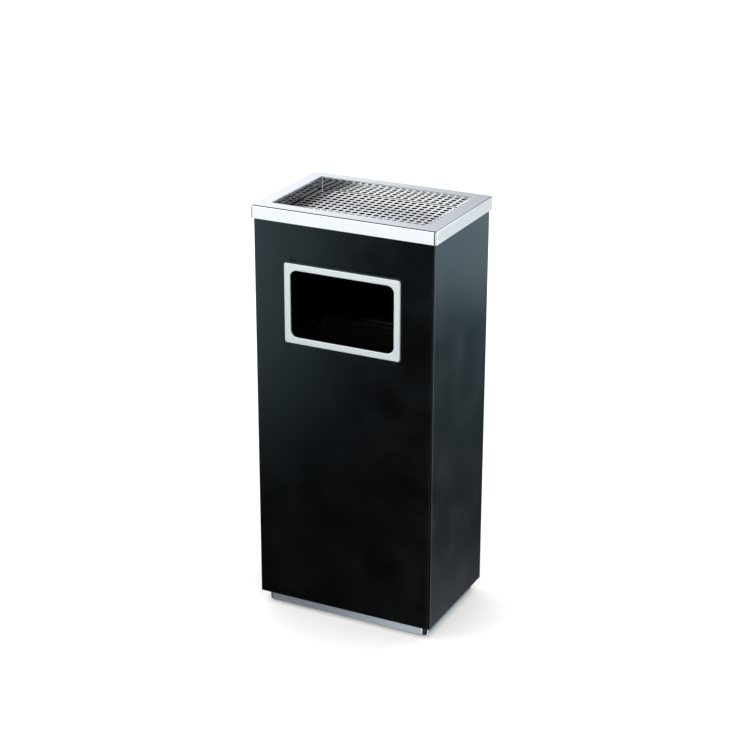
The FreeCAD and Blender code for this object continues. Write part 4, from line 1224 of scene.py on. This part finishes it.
@dataclass
class Bail:
    """The liner's wire handle and its grip."""

    waves: int = 4
    wave: float = 0.55 * MM
    collar: float = 2.5 * MM
    bore: float = 2.55 * MM
    end_round: float = 0.5 * MM

    def grip(self) -> Shape:
        """A sleeve with finger waves: radius = full radius less a cosine wave, round a level bar.

        Returns:
            The grip, in its place.
        """
        half, middle = half_of("bail_grip"), middle_of("bail_grip")
        radius = min(half.y, half.z)
        along = np.linspace(-1, 1, 49) * (half.x - self.end_round)
        waist = half.x - self.collar
        turns = along / waist * math.pi * self.waves
        wave = np.where(np.abs(along) < waist, self.wave * (0.5 + 0.5 * np.cos(turns)), 0.0)
        end = np.array([
            [radius - self.bore, half.x], [1.6 * self.end_round, half.x],
            [0.3 * self.end_round, half.x - 0.6 * self.end_round],
        ])
        sleeve = np.stack([wave, along], axis=-1)
        profile = np.concatenate([end * np.array([1, -1]), sleeve, end[::-1]])
        shape = carry(ring(radius), profile, Facing.ENDWAYS, arc_steps=6)
        return shape.moved(middle.x, middle.y, middle.z)

    def build(self) -> None:
        """Makes the grip and dresses the wire."""
        Piece("finger_grip", "bail", "grip_plastic", PLASTIC, ("bail_grip",)).make(self.grip())
        dress(WIRE, "bail_wire")


# --- studio ------------------------------------------------------------------------------------------


@dataclass(frozen=True)
class Card:
    """A soft-edged patch of light that only reflections see, far off in one direction.

    Bearing is in degrees from the front (-Y), positive to the right, and rise is degrees above level.
    Each edge fades over its own width.
    """

    bearings: tuple[float, float]
    rises: tuple[float, float]
    light: float
    tint: str = "FFFFFF"
    bearing_fades: tuple[float, float] = (8.0, 8.0)
    rise_fades: tuple[float, float] = (6.0, 6.0)

    def window(
        self, tree: Tree, angle: Socket, edges: tuple[float, float],
        fades: tuple[float, float],
    ) -> Socket:
        """One between two angles, falling smoothly to nought outside them.

        Args:
            tree: The world's tree.
            angle: The angle in degrees.
            edges: Where the window starts to fall, low and high.
            fades: How many degrees each fall takes.

        Returns:
            The window's value.
        """
        rising = add_node(
            tree, "ShaderNodeMapRange",
            {"Value": angle, "From Min": edges[0] - fades[0], "From Max": edges[0]},
            interpolation_type="SMOOTHSTEP",
        )
        falling = add_node(
            tree, "ShaderNodeMapRange",
            {"Value": angle, "From Min": edges[1], "From Max": edges[1] + fades[1],
             "To Min": 1.0, "To Max": 0.0},
            interpolation_type="SMOOTHSTEP",
        )
        both = add_node(
            tree, "ShaderNodeMath", {0: rising.outputs[0], 1: falling.outputs[0]}, operation="MULTIPLY"
        )
        return both.outputs[0]

    def shine(
        self, tree: Tree, bearing: Socket, rise: Socket
    ) -> Socket:
        """The card's light in a direction.

        Args:
            tree: The world's tree.
            bearing: The direction's bearing in degrees.
            rise: Its rise in degrees.

        Returns:
            The light, as a colour.
        """
        across = self.window(tree, bearing, self.bearings, self.bearing_fades)
        up = self.window(tree, rise, self.rises, self.rise_fades)
        patch = add_node(tree, "ShaderNodeMath", {0: across, 1: up}, operation="MULTIPLY")
        colour = [c * self.light for c in linear(self.tint)[:3]]
        lit = add_node(
            tree, "ShaderNodeVectorMath", {0: colour, "Scale": patch.outputs[0]}, operation="SCALE"
        )
        return lit.outputs[0]


@dataclass
class Studio:
    """A pale sweep of floor, soft even light, cards for the steel to reflect, and the camera."""

    floor_half: float = 12.0
    floor_colour: str = "F4F4F3"
    ambient: float = 1.5
    dark: float = 0.03
    lamp_size: float = 2.2
    lamp_watts: float = 14.0
    lamp_place: tuple[float, float, float] = (-1.6, -1.4, 2.8)
    lamp_aim: tuple[float, float, float] = (0.0, 0.0, 0.3)
    lens_mm: float = 91.445
    sensor_mm: float = 36.0
    camera_place: tuple[float, float, float] = (1.1159, -2.25861, 1.35582)
    camera_bearing: float = 26.199
    camera_dip: float = 21.743
    camera_roll: float = 0.188
    cards: tuple[Card, ...] = (
        # Low at the front left, fading to the right and downwards: the sheen on the front panel
        Card((-52.0, -30.5), (-17.4, -16.0), 1.35, "E4FAFF", (14.0, 4.5), (8.5, 1.2)),
        # Just above it: the rim's front skirt and the mouth trim
        Card((-48.0, -23.5), (-14.0, 9.0), 1.1, "F8FCFF", (12.0, 8.0), (1.4, 3.0)),
        Card((-60.0, -14.0), (-4.0, 9.0), 0.7, "F8FCFF", (12.0, 8.0), (6.0, 3.0)),
        # Higher at the front left: the far wall of the basin
        Card((-60.0, -20.0), (10.0, 30.0), 1.05, "FCFCFA", (12.0, 7.0), (6.0, 8.0)),
        # Low at the back right: the side panel
        Card((138.0, 181.0), (-17.8, -16.6), 0.7, "D4F2FF", (8.0, 1.0), (3.0, 0.8)),
        Card((120.0, 181.0), (-19.5, -16.6), 0.2, "C0ECFF", (20.0, 1.0), (9.0, 0.8)),
        Card((134.0, 181.0), (-60.0, -30.0), 0.3, "E4F0FF", (10.0, 1.0), (5.0, 5.0)),
        # Just above it: the rim's side skirt
        Card((141.0, 181.0), (-16.2, 2.0), 0.82, "F6FCFF", (6.0, 1.0), (0.8, 6.0)),
        # High at the back left, fading to the back: the rim's flat top
        Card((-149.5, -60.0), (6.0, 34.0), 0.5, "FAFCFF", (9.0, 30.0), (6.0, 12.0)),
        Card((-181.0, -100.0), (4.0, 38.0), 0.6, "F2F6FF", (1.0, 30.0), (6.0, 12.0)),
        # A dim level band over the front and the right
        Card((-20.0, 128.0), (6.0, 32.0), 0.16, "FFFFFF", (10.0, 8.0), (8.0, 12.0)),
        # Straight down: the pale floor, and its nearer part in front
        Card((-181.0, 181.0), (-91.0, -52.0), 0.4, "FFFFFF", (1.0, 1.0), (1.0, 10.0)),
        Card((-150.0, -19.0), (-56.0, -35.0), 0.24, "E6F2FF", (20.0, 3.0), (5.0, 4.0)),
        Card((-26.0, -19.0), (-56.0, -35.0), 0.3, "E6F2FF", (4.5, 3.0), (5.0, 2.5)),
        # Two tall narrow strips: the lines of light on both sides of an upright corner
        Card((-20.0, -14.0), (-60.0, 8.0), 1.7, "FFFFFF", (1.6, 2.0), (5.0, 5.0)),
        Card((136.0, 150.0), (-60.0, 8.0), 1.8, "FFFFFF", (2.5, 3.0), (5.0, 5.0)),
        # The far half of the rim's near corner, and its skirt as seen from behind
        Card((38.0, 150.0), (-19.0, 0.0), 0.85, "F8FCFF", (8.0, 3.0), (8.0, 4.0)),
        Card((-172.0, -92.0), (-19.0, 2.0), 0.85, "F8FCFF", (8.0, 8.0), (8.0, 4.0)),
        # Straight ahead: the basin's back left corner, and the steel as seen from the front
        Card((-8.0, 13.0), (1.0, 30.0), 0.75, "FAFCFF", (5.0, 5.0), (8.0, 12.0)),
        # High at the back right: the rim's flat top as seen from the front left
        Card((60.0, 181.0), (23.0, 40.0), 0.5, "F6F8FF", (20.0, 1.0), (3.0, 10.0)),
    )

    def floor(self) -> None:
        """A pale matt sheet under everything, which reflections don't see."""
        half = self.floor_half
        mesh = bpy.data.meshes.new("floor")
        mesh.from_pydata([(i * half, j * half, 0.0) for i, j in CORNERS], [], [(0, 1, 2, 3)])
        sheet_of_paper = bpy.data.objects.new("floor", mesh)
        bpy.context.scene.collection.objects.link(sheet_of_paper)
        paper = bpy.data.materials.new("matt_background_paper")
        paper.use_nodes = True
        shader = paper.node_tree.nodes["Principled BSDF"]
        shader.inputs["Base Color"].default_value = linear(self.floor_colour)
        shader.inputs["Roughness"].default_value = 1.0
        shader.inputs["Specular IOR Level"].default_value = 0.0
        mesh.materials.append(paper)
        sheet_of_paper.visible_glossy = False

    def world(self) -> None:
        """Even light for everything matt, and the cards for everything that reflects."""
        world = bpy.data.worlds.new("studio")
        bpy.context.scene.world = world
        world.use_nodes = True
        tree = world.node_tree
        tree.nodes.clear()
        aim = add_node(tree, "ShaderNodeTexCoord").outputs["Generated"]
        x, y, z = add_node(tree, "ShaderNodeSeparateXYZ", {0: aim}).outputs
        ahead = add_node(tree, "ShaderNodeMath", {0: y, 1: -1.0}, operation="MULTIPLY").outputs[0]
        turn = add_node(tree, "ShaderNodeMath", {0: x, 1: ahead}, operation="ARCTAN2").outputs[0]
        lift = add_node(tree, "ShaderNodeMath", {0: z}, operation="ARCSINE").outputs[0]
        bearing = add_node(tree, "ShaderNodeMath", {0: turn}, operation="DEGREES").outputs[0]
        rise = add_node(tree, "ShaderNodeMath", {0: lift}, operation="DEGREES").outputs[0]
        light: Any = (self.dark, self.dark, self.dark)
        for card in self.cards:
            shine = card.shine(tree, bearing, rise)
            light = add_node(tree, "ShaderNodeVectorMath", {0: light, 1: shine}, operation="ADD").outputs[0]
        ray = add_node(tree, "ShaderNodeLightPath")
        even = (self.ambient, self.ambient, self.ambient, 1.0)
        seen = add_node(
            tree, "ShaderNodeMix", {0: ray.outputs["Is Glossy Ray"], 6: even, 7: light}, data_type="RGBA"
        )
        sky = add_node(tree, "ShaderNodeBackground", {"Color": seen.outputs[2], "Strength": 1.0})
        add_node(tree, "ShaderNodeOutputWorld", {"Surface": sky.outputs[0]})

    def lamp(self) -> None:
        """One large soft lamp, up and to the left, that settles the bin on the floor."""
        light = bpy.data.lights.new("soft_key", "AREA")
        light.shape = "DISK"
        light.size = self.lamp_size
        light.energy = self.lamp_watts
        lamp = bpy.data.objects.new("soft_key", light)
        lamp.location = self.lamp_place
        lamp.rotation_mode = "QUATERNION"
        lamp.rotation_quaternion = (Vector(self.lamp_aim) - lamp.location).to_track_quat("-Z", "Y")
        lamp.visible_glossy = False
        bpy.context.scene.collection.objects.link(lamp)

    def camera(self) -> None:
        """A long lens at head height, in front of the bin and to its right, looking down on it."""
        angles = (self.camera_bearing, self.camera_dip, self.camera_roll)
        bearing, dip, roll = (math.radians(angle) for angle in angles)
        level = Vector((math.cos(bearing), math.sin(bearing), 0.0))
        ahead = Vector((math.sin(bearing), -math.cos(bearing), 0.0))
        away = ahead * math.cos(dip) + Vector((0.0, 0.0, math.sin(dip)))
        above = away.cross(level)
        right = level * math.cos(roll) + above * math.sin(roll)
        top = away.cross(right)
        lens = bpy.data.cameras.new("camera")
        lens.lens, lens.sensor_width = self.lens_mm, self.sensor_mm
        camera = bpy.data.objects.new("camera", lens)
        turned = Matrix((right, top, away)).transposed()
        camera.matrix_world = Matrix.Translation(Vector(self.camera_place)) @ turned.to_4x4()
        bpy.context.scene.collection.objects.link(camera)
        bpy.context.scene.camera = camera

    def build(self) -> None:
        """Sets the stage."""
        bpy.context.scene.view_settings.view_transform = "Standard"
        self.floor()
        self.world()
        self.lamp()
        self.camera()


def main() -> None:
    """Builds the bin from the floor up, then the studio round it."""
    logging.basicConfig(level=logging.INFO, format="%(message)s")
    for part in (Cabinet(), MouthTrim(), AshTray(), Grate(), Liner(), Bail(), Studio()):
        part.build()


if __name__ == "__main__":
    main()
